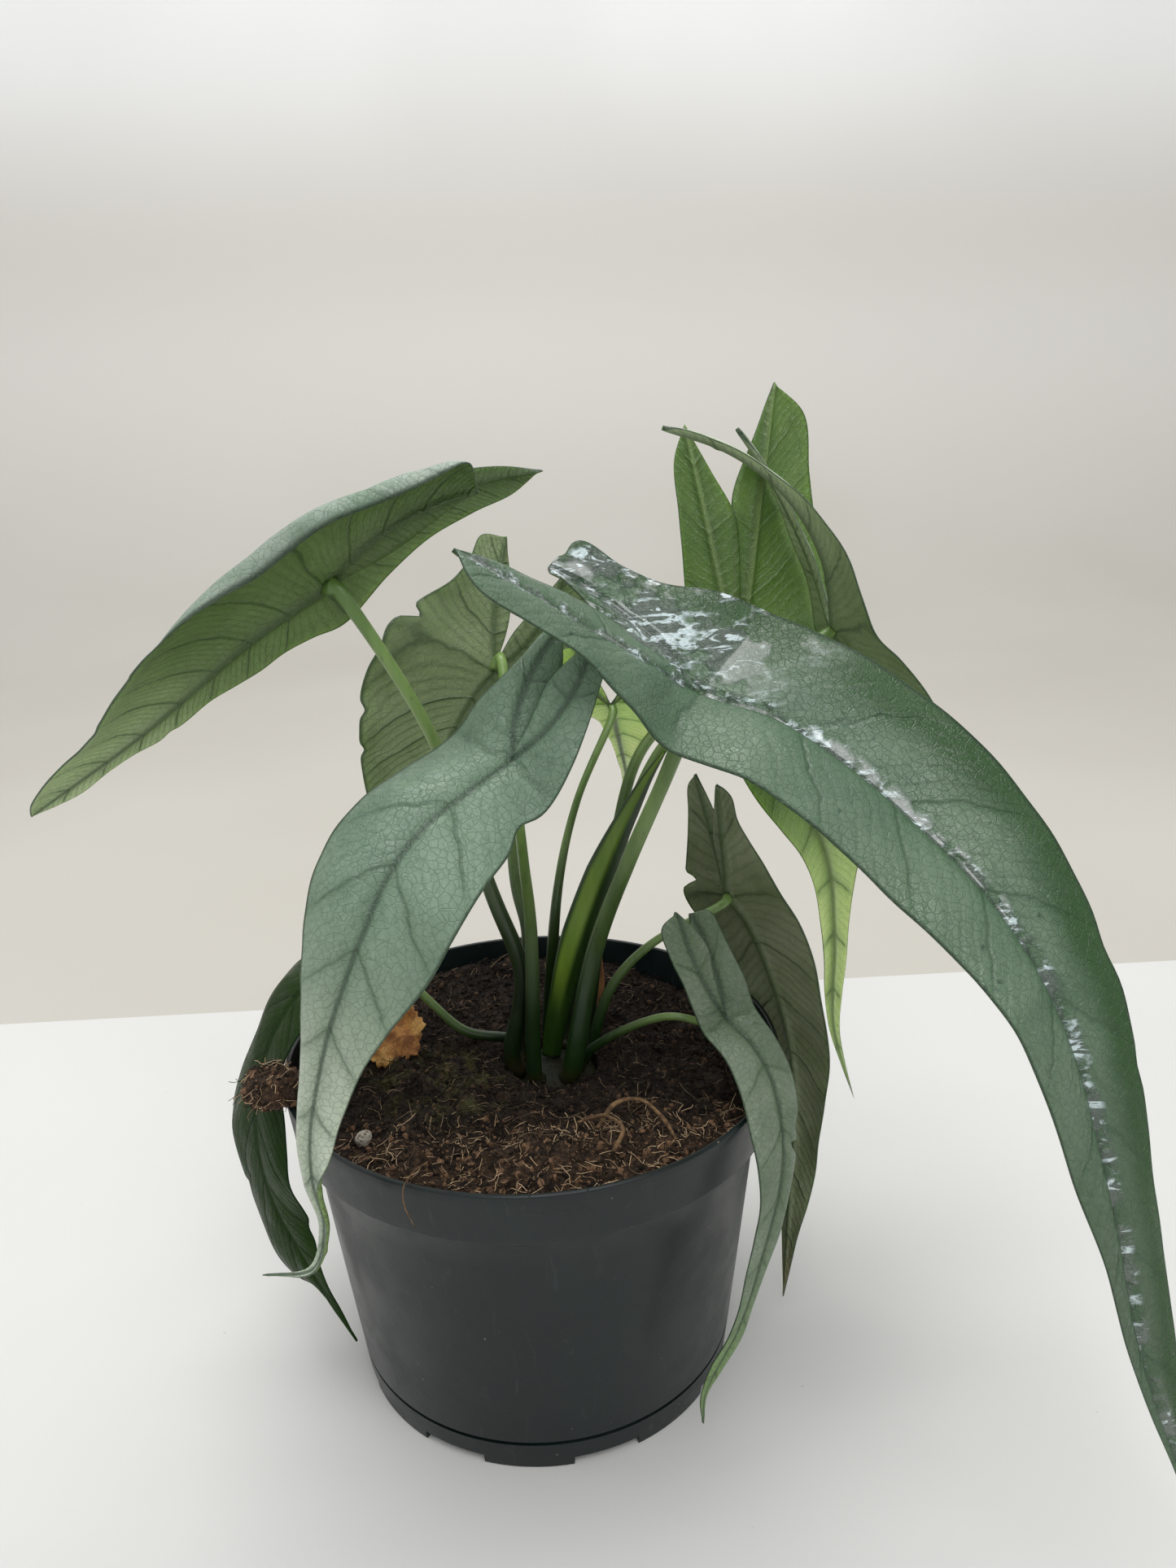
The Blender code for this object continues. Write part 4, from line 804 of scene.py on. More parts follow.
crown = {"centre": (5.0, 2.0), "radius": 13.0, "shoulder": 86.0, "dome": 4.5, "ring": 8.8,
         "bottom": 80.0}
stems = {
    "upper_left": dict(turn=200, thick=(2.6, 1.7), drop=0.75,
                       via=[(-2, -3, 120), (-9, -4, 146), (-22, -4, 191)]),
    "front_left": dict(turn=244, thick=(2.2, 1.4), via=[(1, -9, 135), (0, -18, 160)]),
    "front_right": dict(turn=301, thick=(2.8, 2.0),
                        via=[(18, -6, 127), (27, -14, 156), (36, -20, 180)]),
    "back_left": dict(turn=122, thick=(2.0, 1.4), via=[(0, 8, 127), (-3, 14, 147)]),
    "back_top": dict(turn=58, thick=(2.3, 1.6), via=[(24, 14, 142), (37, 28, 176)]),
    "right_edge": dict(turn=27, thick=(2.1, 1.6), via=[(23, 7, 138), (42, 12, 182)]),
    "back_centre": dict(turn=90, thick=(1.9, 1.1), via=[(9, 10, 138), (16, 18, 163)]),
    "low_left": dict(turn=161, thick=(1.6, 1.2), via=[(-20, 3, 101), (-34, 4, 116)]),
    "hang_back": dict(turn=358, thick=(1.8, 1.2), via=[(23, 2, 112), (35, 2, 125)]),
    "hang_front": dict(turn=333, thick=(1.5, 1.1), via=[(26, -8, 104), (38, -15, 111)]),
}
stemMake = {"steps": 72, "sides": 20, "bladeUnder": 0.8, "footUp": 0.35, "footStraight": 7.0,
            "bendUnder": 5.0, "bendBack": 2.0, "groove": (0.16, 0.04), "grooveAt": 1.6,
            "grooveWide": 0.5}


def crownPoint(turn):
    r = crown["ring"] / crown["radius"]
    place = np.array([crown["centre"][0] + crown["ring"] * math.cos(turn),
                      crown["centre"][1] + crown["ring"] * math.sin(turn),
                      crown["shoulder"] + crown["dome"] * (1 - r * r)])
    slope = 2 * crown["dome"] * r / crown["radius"]
    return place, unit([slope * math.cos(turn), slope * math.sin(turn), 1.0])


def stemMaterial():
    m = Shade("stemSkin", **{"Subsurface Weight": 0.15, "Subsurface Radius": (0.4, 1.0, 0.2),
                             "Subsurface Scale": 0.0015, "Coat Weight": 0.15,
                             "Coat Roughness": 0.25})
    run = m.mark("run")
    streak = m.noise(90, 4, 0.6, 0.0, m.squeeze(1.0, 1.0, 0.06))
    low = m.mottle(streak, paint(12, 30, 8), paint(20, 44, 10))
    high = m.mottle(streak, paint(92, 122, 58), paint(124, 152, 84))
    skin = m.mottle(run, low, high, 0.15, 0.9)
    freckle = m.stretch(m.cells(520, coords=m.squeeze(1.0, 1.0, 0.5)), 0.22, 0.1)
    skin = m.tint(skin, freckle, 0.3, paint(34, 50, 20))
    foot = m.stretch(run, 0.07, 0.0)
    m.colour(m.tint(skin, foot, 0.7, paint(58, 46, 26)))
    m.rough(m.noise(150, 3), 0.28, 0.45)
    m.bump(m.noise(240, 4, 0.6, 0.0, m.squeeze(1.0, 1.0, 0.1)), 0.0003, 0.5)
    return m.mat


stemSkin = stemMaterial()


def makeStem(name):
    stem, leaf = stems[name], leaves[name]
    base, up = crownPoint(math.radians(stem["turn"]))
    foot = base + up * stemMake["footUp"]
    rib = spline(leaf["rib"], 12)
    ahead = tangents(rib)[0]
    face = squareTo(np.asarray(leaf["face"][0], float), ahead)
    seat = rib[0] - face * (stemMake["bladeUnder"] + stem.get("drop", 0.0))
    near = seat - face * stemMake["bendUnder"] - ahead * stemMake["bendBack"]
    path = spline([foot, foot + up * stemMake["footStraight"]] + stem["via"] + [near, seat],
                  stemMake["steps"])
    thin, thick = stem["thick"][1], stem["thick"][0]
    radii = [thick * 1.04, thick, thick * 0.92, thick * 0.84, (thick + thin) * 0.44,
             thin * 1.02, thin * 0.95, thin, thin * 1.18]

    def channel(angle, rows):
        # a shallow groove along the inner side, deeper towards the foot
        depth = np.linspace(*stemMake["groove"], rows)[:, None]
        off = (angle[None] - stemMake["grooveAt"]) / stemMake["grooveWide"]
        return 1 - depth * np.exp(-off ** 2)

    verts, faces, run = tubeMesh(path, radii, stemMake["sides"], shape=channel,
                                 across=(math.cos(math.radians(stem["turn"] + 90)),
                                         math.sin(math.radians(stem["turn"] + 90)), 0.0))
    end = verts[-stemMake["sides"]:]
    end += np.outer((seat - end) @ face, face)
    solid(makerName("stem_" + name), "stem", "stem_" + name, verts * mm, faces, stemSkin,
          {"run": run})


for stemName in stems:
    makeStem(stemName)

newLeaf = {"path": [(5, 2, 91.4), (8, 1, 108), (13, -0.5, 128), (22, -2, 152), (32, -6, 174),
                    (38, -9, 185)],
           "widths": [2.8, 3.4, 4.4, 4.2, 2.6, 0.5], "flatness": 0.55, "sides": 40, "steps": 80}


def makeNewLeaf():
    m = Shade("rolledLeafSkin", **{"Subsurface Weight": 0.2, "Subsurface Scale": 0.0015,
                                   "Subsurface Radius": (0.4, 1.0, 0.2)})
    run, seam = m.mark("run"), m.mark("seam")
    streak = m.noise(120, 4, 0.6, 0.0, m.squeeze(1.0, 1.0, 0.07))
    outer = m.mottle(streak, paint(26, 50, 12), paint(44, 74, 20))
    inside = m.mottle(streak, paint(92, 124, 26), paint(122, 150, 44), 0.3, 0.7)
    m.colour(m.blend(m.times(seam, m.stretch(run, 0.12, 0.35)), outer, inside))
    m.rough(m.noise(150, 3), 0.3, 0.45)
    m.bump(streak, 0.0003, 0.6)

    def roll(angle, rows):
        # the outer edge laps over the roll and stands a little proud
        step = 0.1 * smoothStep(3.6, 3.75, angle) * smoothStep(5.4, 4.2, angle)
        dent = 0.24 * np.exp(-((angle - 4.15) / 0.42) ** 2)
        return np.ones((rows, 1)) * (1.0 + step - dent)[None]

    path = spline(newLeaf["path"], newLeaf["steps"])
    verts, faces, run = tubeMesh(path, newLeaf["widths"], newLeaf["sides"], newLeaf["flatness"],
                                 shape=roll)
    angle = 2 * np.pi * np.arange(newLeaf["sides"]) / newLeaf["sides"]
    seam = smoothStep(0.75, 0.35, np.abs(angle - 4.3))
    solid("rolledNewLeaf", "stem", "new_leaf", verts * mm, faces, m.mat,
          {"run": run, "seam": np.tile(seam, newLeaf["steps"] + 1)})


makeNewLeaf()
print("stems made")


# pot

pot = {"rim": 0.0700, "height": 0.0977, "lip": 0.0150, "draft": 0.0014, "step": 0.0045,
       "foot": 0.0550, "wall": 0.0014, "seamHeight": 0.0092, "seamDepth": 0.0010,
       "pad": 0.0350, "channel": 0.0040, "channelOuter": 0.0490, "holes": 8,
       "holeRadius": 0.0030, "notches": 8, "notchWidth": 0.0185, "notchHeight": 0.0030,
       "turn": 15.0, "segments": 160, "tabAt": (0.004, 0.0955), "tabSize": (0.0070, 0.0030),
       "edge": 0.0006, "seamHalf": 0.00035, "belly": 0.0001, "wallSteps": 9,
       "lineBelow": 0.0036, "lineProud": 0.00022, "lineEdges": (0.0003, 0.0012),
       "bandUnder": 0.0012, "bandCorner": 0.0009, "rimOuter": 0.0007, "rimInner": 0.0005}
lipLow = pot["height"] - pot["lip"]
lipLowRadius = pot["rim"] - pot["draft"]
wallTop = lipLowRadius - pot["step"]


def wallRadius(z):
    return pot["foot"] + (wallTop - pot["foot"]) * z / lipLow


def rounded(x, z, r, a0, a1, steps=5):
    return [(x + r * math.cos(math.radians(a0 + (a1 - a0) * k / steps)),
             z + r * math.sin(math.radians(a0 + (a1 - a0) * k / steps))) for k in range(steps + 1)]


def potMaterial():
    m = Shade("blackPotPlastic", **{"Specular IOR Level": 0.45})
    cloud = m.noise(22, 4, 0.6)
    base = m.mottle(cloud, paint(1, 14, 14), paint(3, 20, 20), 0.35, 0.7)
    scuff = m.stretch(m.noise(160, 5, 0.7, 1.5, m.squeeze(1, 1, 0.25)), 0.58, 0.75)
    base = m.tint(base, scuff, 0.25, paint(66, 72, 72))
    dust = m.stretch(m.cells(210), 0.075, 0.03)
    dust = m.times(dust, m.stretch(m.noise(70, 2), 0.52, 0.6))
    m.colour(m.tint(base, dust, 0.55, paint(150, 140, 124)))
    m.rough(m.noise(55, 4, 0.65), 0.3, 0.44)
    fine = m.plus(m.times(m.noise(900, 2), 0.4), m.noise(30, 2))
    across, deep, high = m.parts(m.coords)       # a small raised tab on the band
    (tabX, tabZ), (tabWide, tabTall), fade = pot["tabAt"], pot["tabSize"], 0.0004
    wide = m.math("ABSOLUTE", m.math("SUBTRACT", across, tabX))
    tall = m.math("ABSOLUTE", m.math("SUBTRACT", high, tabZ))
    tab = m.times(m.stretch(wide, tabWide, tabWide - fade), m.stretch(deep, 0.0, -0.01))
    tab = m.times(tab, m.stretch(tall, tabTall, tabTall - fade))
    m.bump(m.math("MULTIPLY_ADD", tab, 1.6, fine), 0.00018, 0.5)
    return m.mat


def makePot():
    t, edge, proud = pot["wall"], pot["edge"], pot["lineProud"]
    floorTop = pot["channel"] + t
    ledge = lipLow + t
    seam, seamHalf = pot["seamHeight"], pot["seamHalf"]
    profile = [(0.0, 0.0), (pot["pad"], 0.0), (pot["pad"] + edge, pot["channel"]),
               (pot["channelOuter"], pot["channel"]), (pot["channelOuter"] + edge, 0.0)]
    profile += rounded(pot["foot"] - edge, edge, edge, -90, 0)
    profile += [(wallRadius(seam - edge), seam - edge),
                (wallRadius(seam) - pot["seamDepth"], seam - seamHalf),
                (wallRadius(seam) - pot["seamDepth"], seam + seamHalf),
                (wallRadius(seam + edge), seam + edge)]
    steps = pot["wallSteps"]
    for k in range(1, steps):                      # the wall, very slightly bellied
        z = seam + 0.001 + (lipLow - 0.0040 - seam - 0.001) * k / steps
        profile.append((wallRadius(z) + pot["belly"] * math.sin(math.pi * k / steps), z))
    line = lipLow - pot["lineBelow"]               # a faint moulded line under the band
    profile.append((wallRadius(line), line))
    profile += [(wallRadius(line) + proud, line + up) for up in pot["lineEdges"]]
    under, corner = pot["bandUnder"], pot["bandCorner"]
    profile += rounded(wallTop + under, lipLow - under, under, 180, 90)
    profile += rounded(lipLowRadius - corner, lipLow + corner, corner, -90, 0)
    profile += [(lipLowRadius + (pot["rim"] - lipLowRadius) * k / 6,
                 lipLow + 0.0012 + (pot["lip"] - 0.0022) * k / 6) for k in range(1, 6)]
    outer, inner = pot["rimOuter"], pot["rimInner"]
    profile += rounded(pot["rim"] - outer, pot["height"] - outer, outer, 0, 90)
    profile += rounded(pot["rim"] - t + inner, pot["height"] - inner, inner, 90, 180, 3)
    profile += [(lipLowRadius - t, ledge), (wallTop - t, ledge - 0.0003),
                (wallRadius(floorTop) - t, floorTop), (pot["pad"], floorTop),
                (pot["pad"] - edge, t), (0.0, t)]
    verts, faces = latheMesh(profile, pot["segments"])
    piece = makePiece("nurseryPot", verts, faces, [potMaterial()])
    turnOut(piece)
    cut = bmesh.new()
    for k in range(pot["notches"]):
        turn = math.radians(pot["turn"] + 360.0 * k / pot["notches"])
        block = bmesh.ops.create_cube(cut, size=1.0)["verts"]
        depth = pot["foot"] - pot["channelOuter"] + 0.0044
        middle = pot["channelOuter"] - edge + depth / 2
        for v in block:
            x, y = v.co.x * depth + middle, v.co.y * pot["notchWidth"]
            v.co = (x * math.cos(turn) - y * math.sin(turn),
                    x * math.sin(turn) + y * math.cos(turn),
                    (v.co.z + 0.5) * (pot["notchHeight"] + 0.001) - 0.001)
        hole = bmesh.ops.create_cone(cut, cap_ends=True, segments=28, radius1=pot["holeRadius"],
                                     radius2=pot["holeRadius"], depth=0.006)["verts"]
        ring = (pot["pad"] + pot["channelOuter"]) / 2
        half = turn + math.pi / pot["notches"]
        for v in hole:
            v.co.x += ring * math.cos(half)
            v.co.y += ring * math.sin(half)
            v.co.z += pot["channel"]
    mesh = bpy.data.meshes.new("potCut")
    cut.to_mesh(mesh)
    cut.free()
    cutter = bpy.data.objects.new("potCut", mesh)
    bpy.context.scene.collection.objects.link(cutter)
    mod = piece.modifiers.new("openings", "BOOLEAN")
    mod.operation = "DIFFERENCE"
    mod.solver = "EXACT"
    mod.object = cutter
    settle(piece)
    bpy.data.objects.remove(cutter)
    keep = piece.data.materials[0]
    piece.data.materials.clear()
    piece.data.materials.append(keep)
    piece.data.polygons.foreach_set("material_index", [0] * len(piece.data.polygons))
    piece.data.set_sharp_from_angle(angle=math.radians(38))
    hand(piece, "pot", "pot")


makePot()
print("pot made")


# soil

soil = {"belowRim": 0.0070, "gap": 0.0003, "rings": 84,
        "around": 240, "fine": 0.0016,
        # each hump or dip of the surface: place, spread and rise
        "humps": [(-0.036, -0.012, 0.016, 0.0050), (0.004, -0.050, 0.010, 0.0050),
                  (0.030, -0.040, 0.012, 0.0030), (-0.030, -0.046, 0.012, 0.0020),
                  (0.042, 0.036, 0.018, -0.0045),
                  (crown["centre"][0] * mm, crown["centre"][1] * mm, 0.014, -0.0030)],
        "mossAt": (-0.026, -0.012, 0.096),
        # loose crumbs and fibres: how many over the open top, and how large
        "area": 0.0139, "crumbs": 8500, "crumbSize": 0.0010,
        "fibres": 4600, "fibreLength": 0.007, "fibreThick": 0.0001}


def soilHeight(x, y):
    z = pot["height"] - soil["belowRim"] + 0 * x
    for cx, cy, spread, rise in soil["humps"]:
        z = z + rise * np.exp(-((x - cx) ** 2 + (y - cy) ** 2) / (2 * spread ** 2))
    return z + 0.0006 * np.sin(x * 410 + 1.0) * np.sin(y * 370)


def soilMaterial(name, light):
    m = Shade(name, **{"Specular IOR Level": 0.25})
    grain = m.noise(650, 5, 0.75)
    base = m.mottle(m.noise(45, 4, 0.6), paint(26, 19, 14), paint(50, 37, 28))
    base = m.mottle(grain, base, paint(104, 82, 62), 0.45, 0.75)
    base = m.mottle(m.noise(260), base, paint(22, 16, 12), 0.55, 0.7)
    across, deep = m.parts(m.coords)[:2]
    # painted shade: away from the front ridge and the left edge, under the leaves, the soil is
    # darkened towards black; the mask marks the front and left edge as lit
    litZone = m.math("MAXIMUM", m.stretch(deep, -0.022, -0.046), m.stretch(across, -0.056, -0.064))
    base = m.blend(m.stretch(litZone, 1.0, 0.0, 0.0, 0.55), base, paint(14, 10, 8))
    away = m.add("ShaderNodeVectorMath", {0: m.coords, 1: soil["mossAt"]},
                 operation="DISTANCE")["Value"]
    moss = m.times(m.stretch(away, 0.026, 0.010), m.stretch(m.noise(180, 4), 0.45, 0.62))
    base = m.tint(base, moss, 0.55, paint(78, 78, 40))
    if light:
        tone = m.mark("tone")
        # pale crumbs and fibres: partly by their own tone, partly painted light, with more of them
        # at the lit front
        base = m.mottle(m.math("MULTIPLY_ADD", litZone, 0.35, tone), base, light, 0.8, 1.25)
        base = m.mottle(tone, base, paint(24, 17, 12), 0.35, 0.0)
    m.colour(base)
    m.rough(grain, 0.75, 0.95)
    m.bump(m.plus(grain, m.noise(1500, 2)), 0.0006, 0.9)
    return m.mat


def makeSoil():
    n, rings = soil["around"], soil["rings"]
    angle = 2 * np.pi * np.arange(n) / n
    edge = lipLowRadius - pot["wall"] - 2 * soil["gap"]
    pit = crown["radius"] * mm + 2 * soil["gap"]
    cx, cy = crown["centre"][0] * mm, crown["centre"][1] * mm
    low = crown["bottom"] * mm - soil["gap"]
    levels = [np.array([[cx, cy, low]]),
              np.stack([cx + pit * np.cos(angle), cy + pit * np.sin(angle), low + 0 * angle], 1)]
    for step in range(rings + 1):
        t = step / rings
        x = (cx + pit * np.cos(angle)) * (1 - t) + edge * np.cos(angle) * t
        y = (cy + pit * np.sin(angle)) * (1 - t) + edge * np.sin(angle) * t
        z = soilHeight(x, y)
        flat = np.stack([x, y, 0 * x], 1)
        rough = (ripple(flat, 520, 1) * 1.6 + ripple(flat, 1300, 2) * 0.9
                 + np.abs(ripple(flat, 3000, 3)) * 0.5)
        z = z + soil["fine"] * rough * min(1.0, 6 * t + 0.3, 7 * (1 - t) + 0.35)
        levels.append(np.stack([x, y, z], 1))
    ledge, floorTop = lipLow + pot["wall"], pot["channel"] + pot["wall"]
    inner = pot["wall"] + soil["gap"]
    for r, z in [(edge, ledge + 2 * soil["gap"]), (wallTop - inner, ledge + soil["gap"]),
                 (wallRadius(floorTop) - inner, floorTop + soil["gap"]),
                 (pot["pad"] - soil["gap"], floorTop + soil["gap"]),
                 (pot["pad"] - 0.0009, pot["wall"] + soil["gap"])]:
        levels.append(np.stack([r * np.cos(angle), r * np.sin(angle), z + 0 * angle], 1))
    levels.append(np.array([[0.0, 0.0, pot["wall"] + soil["gap"]]]))
    top = [1.0 if 3 <= i <= rings + 1 else 0.0 for i, level in enumerate(levels) for _ in level]
    return solid("pottingSoil", "soil", "soil", np.concatenate(levels),
                 joinRings([len(level) for level in levels], n), soilMaterial("dampSoil", None),
                 {"top": top})


class Growth(NodeTree):
    # a geometry node tree with named inputs
    def __init__(self, name, sizes):
        self.tree = bpy.data.node_groups.new(name, "GeometryNodeTree")
        self.sizes = sizes
        kinds = [(key, "Int" if isinstance(value, int) else "Float")
                 for key, value in sizes.items()]
        face = self.tree.interface
        for key, kind in [("Geometry", "Geometry")] + kinds + [("Finish", "Material")]:
            face.new_socket(key, in_out="INPUT", socket_type="NodeSocket" + kind)
        face.new_socket("Geometry", in_out="OUTPUT", socket_type="NodeSocketGeometry")
        self.given = self.tree.nodes.new("NodeGroupInput").outputs
        self.final = self.tree.nodes.new("NodeGroupOutput").inputs

    def random(self, low, high, seed):
        vector = isinstance(low, tuple)
        first = 0 if vector else 2
        return self.add("FunctionNodeRandomValue", {first: low, first + 1: high, "Seed": seed},
                        data_type="FLOAT_VECTOR" if vector else "FLOAT")[0 if vector else 1]

    def shake(self, geometry, scale, detail, middle, reach):
        # move every point by a soft noise
        wave = self.add("ShaderNodeTexNoise", {"Scale": scale, "Detail": detail})["Color"]
        pull = self.add("ShaderNodeVectorMath", {0: wave, 1: middle}, operation="SUBTRACT")[0]
        push = self.add("ShaderNodeVectorMath", {0: pull, 1: reach}, operation="MULTIPLY")[0]
        return self.add("GeometryNodeSetPosition", {"Geometry": geometry, "Offset": push})[0]

    def scatter(self, shape, turn, scale, seed):
        # copies of one shape over the open top, each with its own turn and tone
        tops = self.add("GeometryNodeInputNamedAttribute", {"Name": "top"}, data_type="FLOAT")[0]
        chosen = self.add("FunctionNodeCompare", {0: tops, 1: 0.6}, data_type="FLOAT",
                          operation="GREATER_THAN")[0]
        points = self.add("GeometryNodeDistributePointsOnFaces",
                          {"Mesh": self.given["Geometry"], "Selection": chosen,
                           "Density": self.given["Density"], "Seed": self.given["Seed"]})[0]
        copies = self.add("GeometryNodeInstanceOnPoints",
                          {"Points": points, "Instance": shape, "Scale": scale,
                           "Rotation": self.random(*turn, seed + 2)})[0]
        toned = self.add("GeometryNodeStoreNamedAttribute",
                         {"Geometry": copies, "Name": "tone",
                          "Value": self.random(0.0, 1.0, seed + 3)},
                         data_type="FLOAT", domain="INSTANCE")[0]
        return self.realize(toned)

    def realize(self, geometry):
        return self.add("GeometryNodeRealizeInstances", {"Geometry": geometry})[0]

    def finish(self, geometry):
        self.put(self.final[0], self.add("GeometryNodeSetMaterial", {
            "Geometry": geometry, "Material": self.given["Finish"]})[0])
        return self

    def grow(self, name, source, material):
        # run the tree over a copy of the source surface and keep the result as a plain mesh
        piece = bpy.data.objects.new(name, source.data.copy())
        bpy.context.scene.collection.objects.link(piece)
        mod = piece.modifiers.new("grow", "NODES")
        mod.node_group = self.tree
        values = dict(self.sizes, Finish=material)
        for item in self.tree.interface.items_tree:
            if item.in_out == "INPUT" and item.name in values:
                mod[item.identifier] = values[item.name]
        settle(piece)
        hand(piece, "soil")


def crumbGrowth(count, size, seed):
    g = Growth("soilCrumbs", {"Density": count / soil["area"], "Crumb Size": size, "Seed": seed})
    ball = g.add("GeometryNodeMeshIcoSphere", {"Radius": 1.0, "Subdivisions": 1})[0]
    lump = g.shake(ball, 2.4, 3.0, (0.5, 0.5, 0.5), (2.4, 2.4, 2.4))
    grade = g.math("POWER", g.random(0.15, 1.0, seed + 1), 2.2)
    width = g.plus(g.times(grade, g.given["Crumb Size"]), 0.00022)
    uneven = g.add("ShaderNodeVectorMath",
                   {0: g.random((0.5, 0.6, 0.4), (1.5, 1.2, 0.9), seed + 4), "Scale": width},
                   operation="SCALE")[0]
    return g.finish(g.scatter(lump, ((0, 0, 0), (6.3, 6.3, 6.3)), uneven, seed))


def fibreGrowth(count, length, thick, seed):
    g = Growth("soilFibres", {"Density": count / soil["area"], "Length": length,
                              "Thickness": thick, "Seed": seed})
    line = g.add("GeometryNodeCurvePrimitiveLine",
                 {"Start": (-0.5, 0.0, 0.06), "End": (0.5, 0.0, 0.1)})[0]
    line = g.add("GeometryNodeResampleCurve", {"Curve": line, "Count": 7})[0]
    scale = g.times(g.random(0.3, 1.0, seed + 1), g.given["Length"])
    laid = g.scatter(line, ((-0.35, -0.6, 0), (0.35, 0.6, 6.3)), scale, seed)
    bent = g.shake(laid, 190.0, 1.0, (0.5, 0.5, 0.47), (0.007, 0.007, 0.005))
    ring = g.add("GeometryNodeCurvePrimitiveCircle",
                 {"Resolution": 3, "Radius": g.given["Thickness"]})[0]
    tube = g.add("GeometryNodeCurveToMesh",
                 {"Curve": bent, "Profile Curve": ring, "Fill Caps": True})[0]
    return g.finish(g.realize(tube))


soilBed = makeSoil()
crumbMaterial = soilMaterial("soilCrumb", paint(128, 98, 74))
fibreMaterial = soilMaterial("soilFibre", paint(224, 192, 154))
crumbGrowth(soil["crumbs"], soil["crumbSize"], 11).grow("soilCrumbs", soilBed, crumbMaterial)
fibreGrowth(soil["fibres"], soil["fibreLength"], soil["fibreThick"], 21).grow(
    "soilFibres", soilBed, fibreMaterial)
print("soil made")


# crown and loose bits

def lumpyBall(centre, size, rough, seed):
    work = bmesh.new()
    bmesh.ops.create_icosphere(work, subdivisions=4, radius=1.0)
    pts = np.array([v.co[:] for v in work.verts])
    faces = [[v.index for v in f.verts] for f in work.faces]
    work.free()
    lump = 1 + rough * ripple(pts, 3.0, seed) * 1.6 + rough * ripple(pts, 8.0, seed + 1)
    return (pts * lump[:, None]) * np.asarray(size) + np.asarray(centre), faces


def makeCrown():
    m = Shade("crownSkin", **{"Specular IOR Level": 0.3})
    rings = m.noise(160, 3, 0.6, 0.0, m.squeeze(1.0, 1.0, 3.0))
    # the crown's colours are kept dark: partly its own colour, partly painted shade from the
    # leaves above
    m.colour(m.mottle(rings, paint(16, 22, 8), paint(36, 34, 16)))
    m.rough(rings, 0.6, 0.85)
    m.bump(m.plus(rings, m.noise(500, 3)), 0.0008, 0.8)
    r, low, shoulder, dome = crown["radius"], crown["bottom"], crown["shoulder"], crown["dome"]
    profile = [(0.0, low), (r * 0.8, low), (r, low + 2.5), (r, shoulder)]
    for share in [1 - k / 14 for k in range(1, 14)]:
        profile.append((r * share, shoulder + dome * (1 - share ** 2)))
    profile.append((0.0, shoulder + dome))
    verts, faces = latheMesh(profile, 96)
    verts = np.array(verts)
    turn = np.arctan2(verts[:, 1], verts[:, 0])
    ridge = 1 - 0.015 * (1 + np.sin(turn * 9 + verts[:, 2] * 0.8))
    verts = verts * np.stack([ridge, ridge, ridge * 0 + 1], 1)
    verts = verts + np.array([crown["centre"][0], crown["centre"][1], 0.0])
    solid("crown", "crown", "crown", verts * mm, faces, m.mat)


clump = {"centre": (-69.2, -20.3, 101.6), "size": (8.2, 7.0, 5.2), "rough": 0.2,
         "crumbs": 9000, "crumbSize": 0.0010, "fibres": 4200, "fibreLength": 0.008}


def makeClump():
    verts, faces = lumpyBall(clump["centre"], clump["size"], clump["rough"], 5)
    core = solid("soilClump", "soil", "soil_clump", verts * mm, faces, crumbMaterial,
                 {"top": [1.0] * len(verts), "tone": [0.5] * len(verts)})
    crumbGrowth(clump["crumbs"], clump["crumbSize"], 31).grow("clumpCrumbs", core, crumbMaterial)
    fibreGrowth(clump["fibres"], clump["fibreLength"], soil["fibreThick"], 41).grow(
        "clumpFibres", core, fibreMaterial)


flake = {"centre": (-40.0, 3.0, 100.5), "size": (8.5, 8.0), "points": 72, "rings": 16,
         "slope": 0.74, "cup": 0.8, "crumple": 0.45, "thick": 0.32}


def makeFlake():
    m = Shade("driedLeafSkin", **{"Subsurface Weight": 0.2, "Subsurface Scale": 0.001})
    blotch = m.noise(240, 4, 0.65, 0.6)
    base = m.mottle(blotch, paint(172, 118, 52), paint(112, 66, 26))
    base = m.mottle(m.noise(90, 3), base, paint(196, 152, 84), 0.55, 0.7)
    m.colour(m.blend(m.stretch(m.cells(520, "DISTANCE_TO_EDGE"), 0.08, 0.0, 0.0, 0.5), base,
                     paint(74, 42, 20)))
    m.rough(blotch, 0.6, 0.85)
    m.bump(m.plus(blotch, m.noise(700, 3)), 0.0006, 0.8)
    rng = np.random.default_rng(4)
    count, rings, cup = flake["points"], flake["rings"], flake["cup"]
    outline = np.interp(np.arange(count) / count * 9, np.arange(10),
                        list(rng.uniform(0.8, 1.1, 9)) + [0.95])
    outline += 0.05 * np.sin(np.arange(count) * 2.1) + 0.03 * np.sin(np.arange(count) * 0.9)
    verts = [(0.0, 0.0, -cup)]
    for i in range(1, rings + 1):
        t = i / rings
        for k in range(count):
            a = 2 * math.pi * k / count
            x = flake["size"][0] * outline[k] * t * math.cos(a)
            y = flake["size"][1] * outline[k] * t * math.sin(a)
            verts.append((x, y, flake["slope"] * y * t + 0.02 * x * x - cup * (1 - t)
                          + flake["crumple"] * math.sin(x * 0.9 + y * 0.5)))
    faces = [f[:1] + f[:0:-1] for f in joinRings([1] + [count] * rings, count)]
    verts = np.array(verts) + np.array(flake["centre"])
    half = sheetNormals(verts, faces) * flake["thick"] / 2
    both, closed, _ = thicken(verts + half, verts - half, faces)
    piece = makePiece("driedFlake", both * mm, closed, [m.mat])
    hand(piece, "dried", "dried_flake")


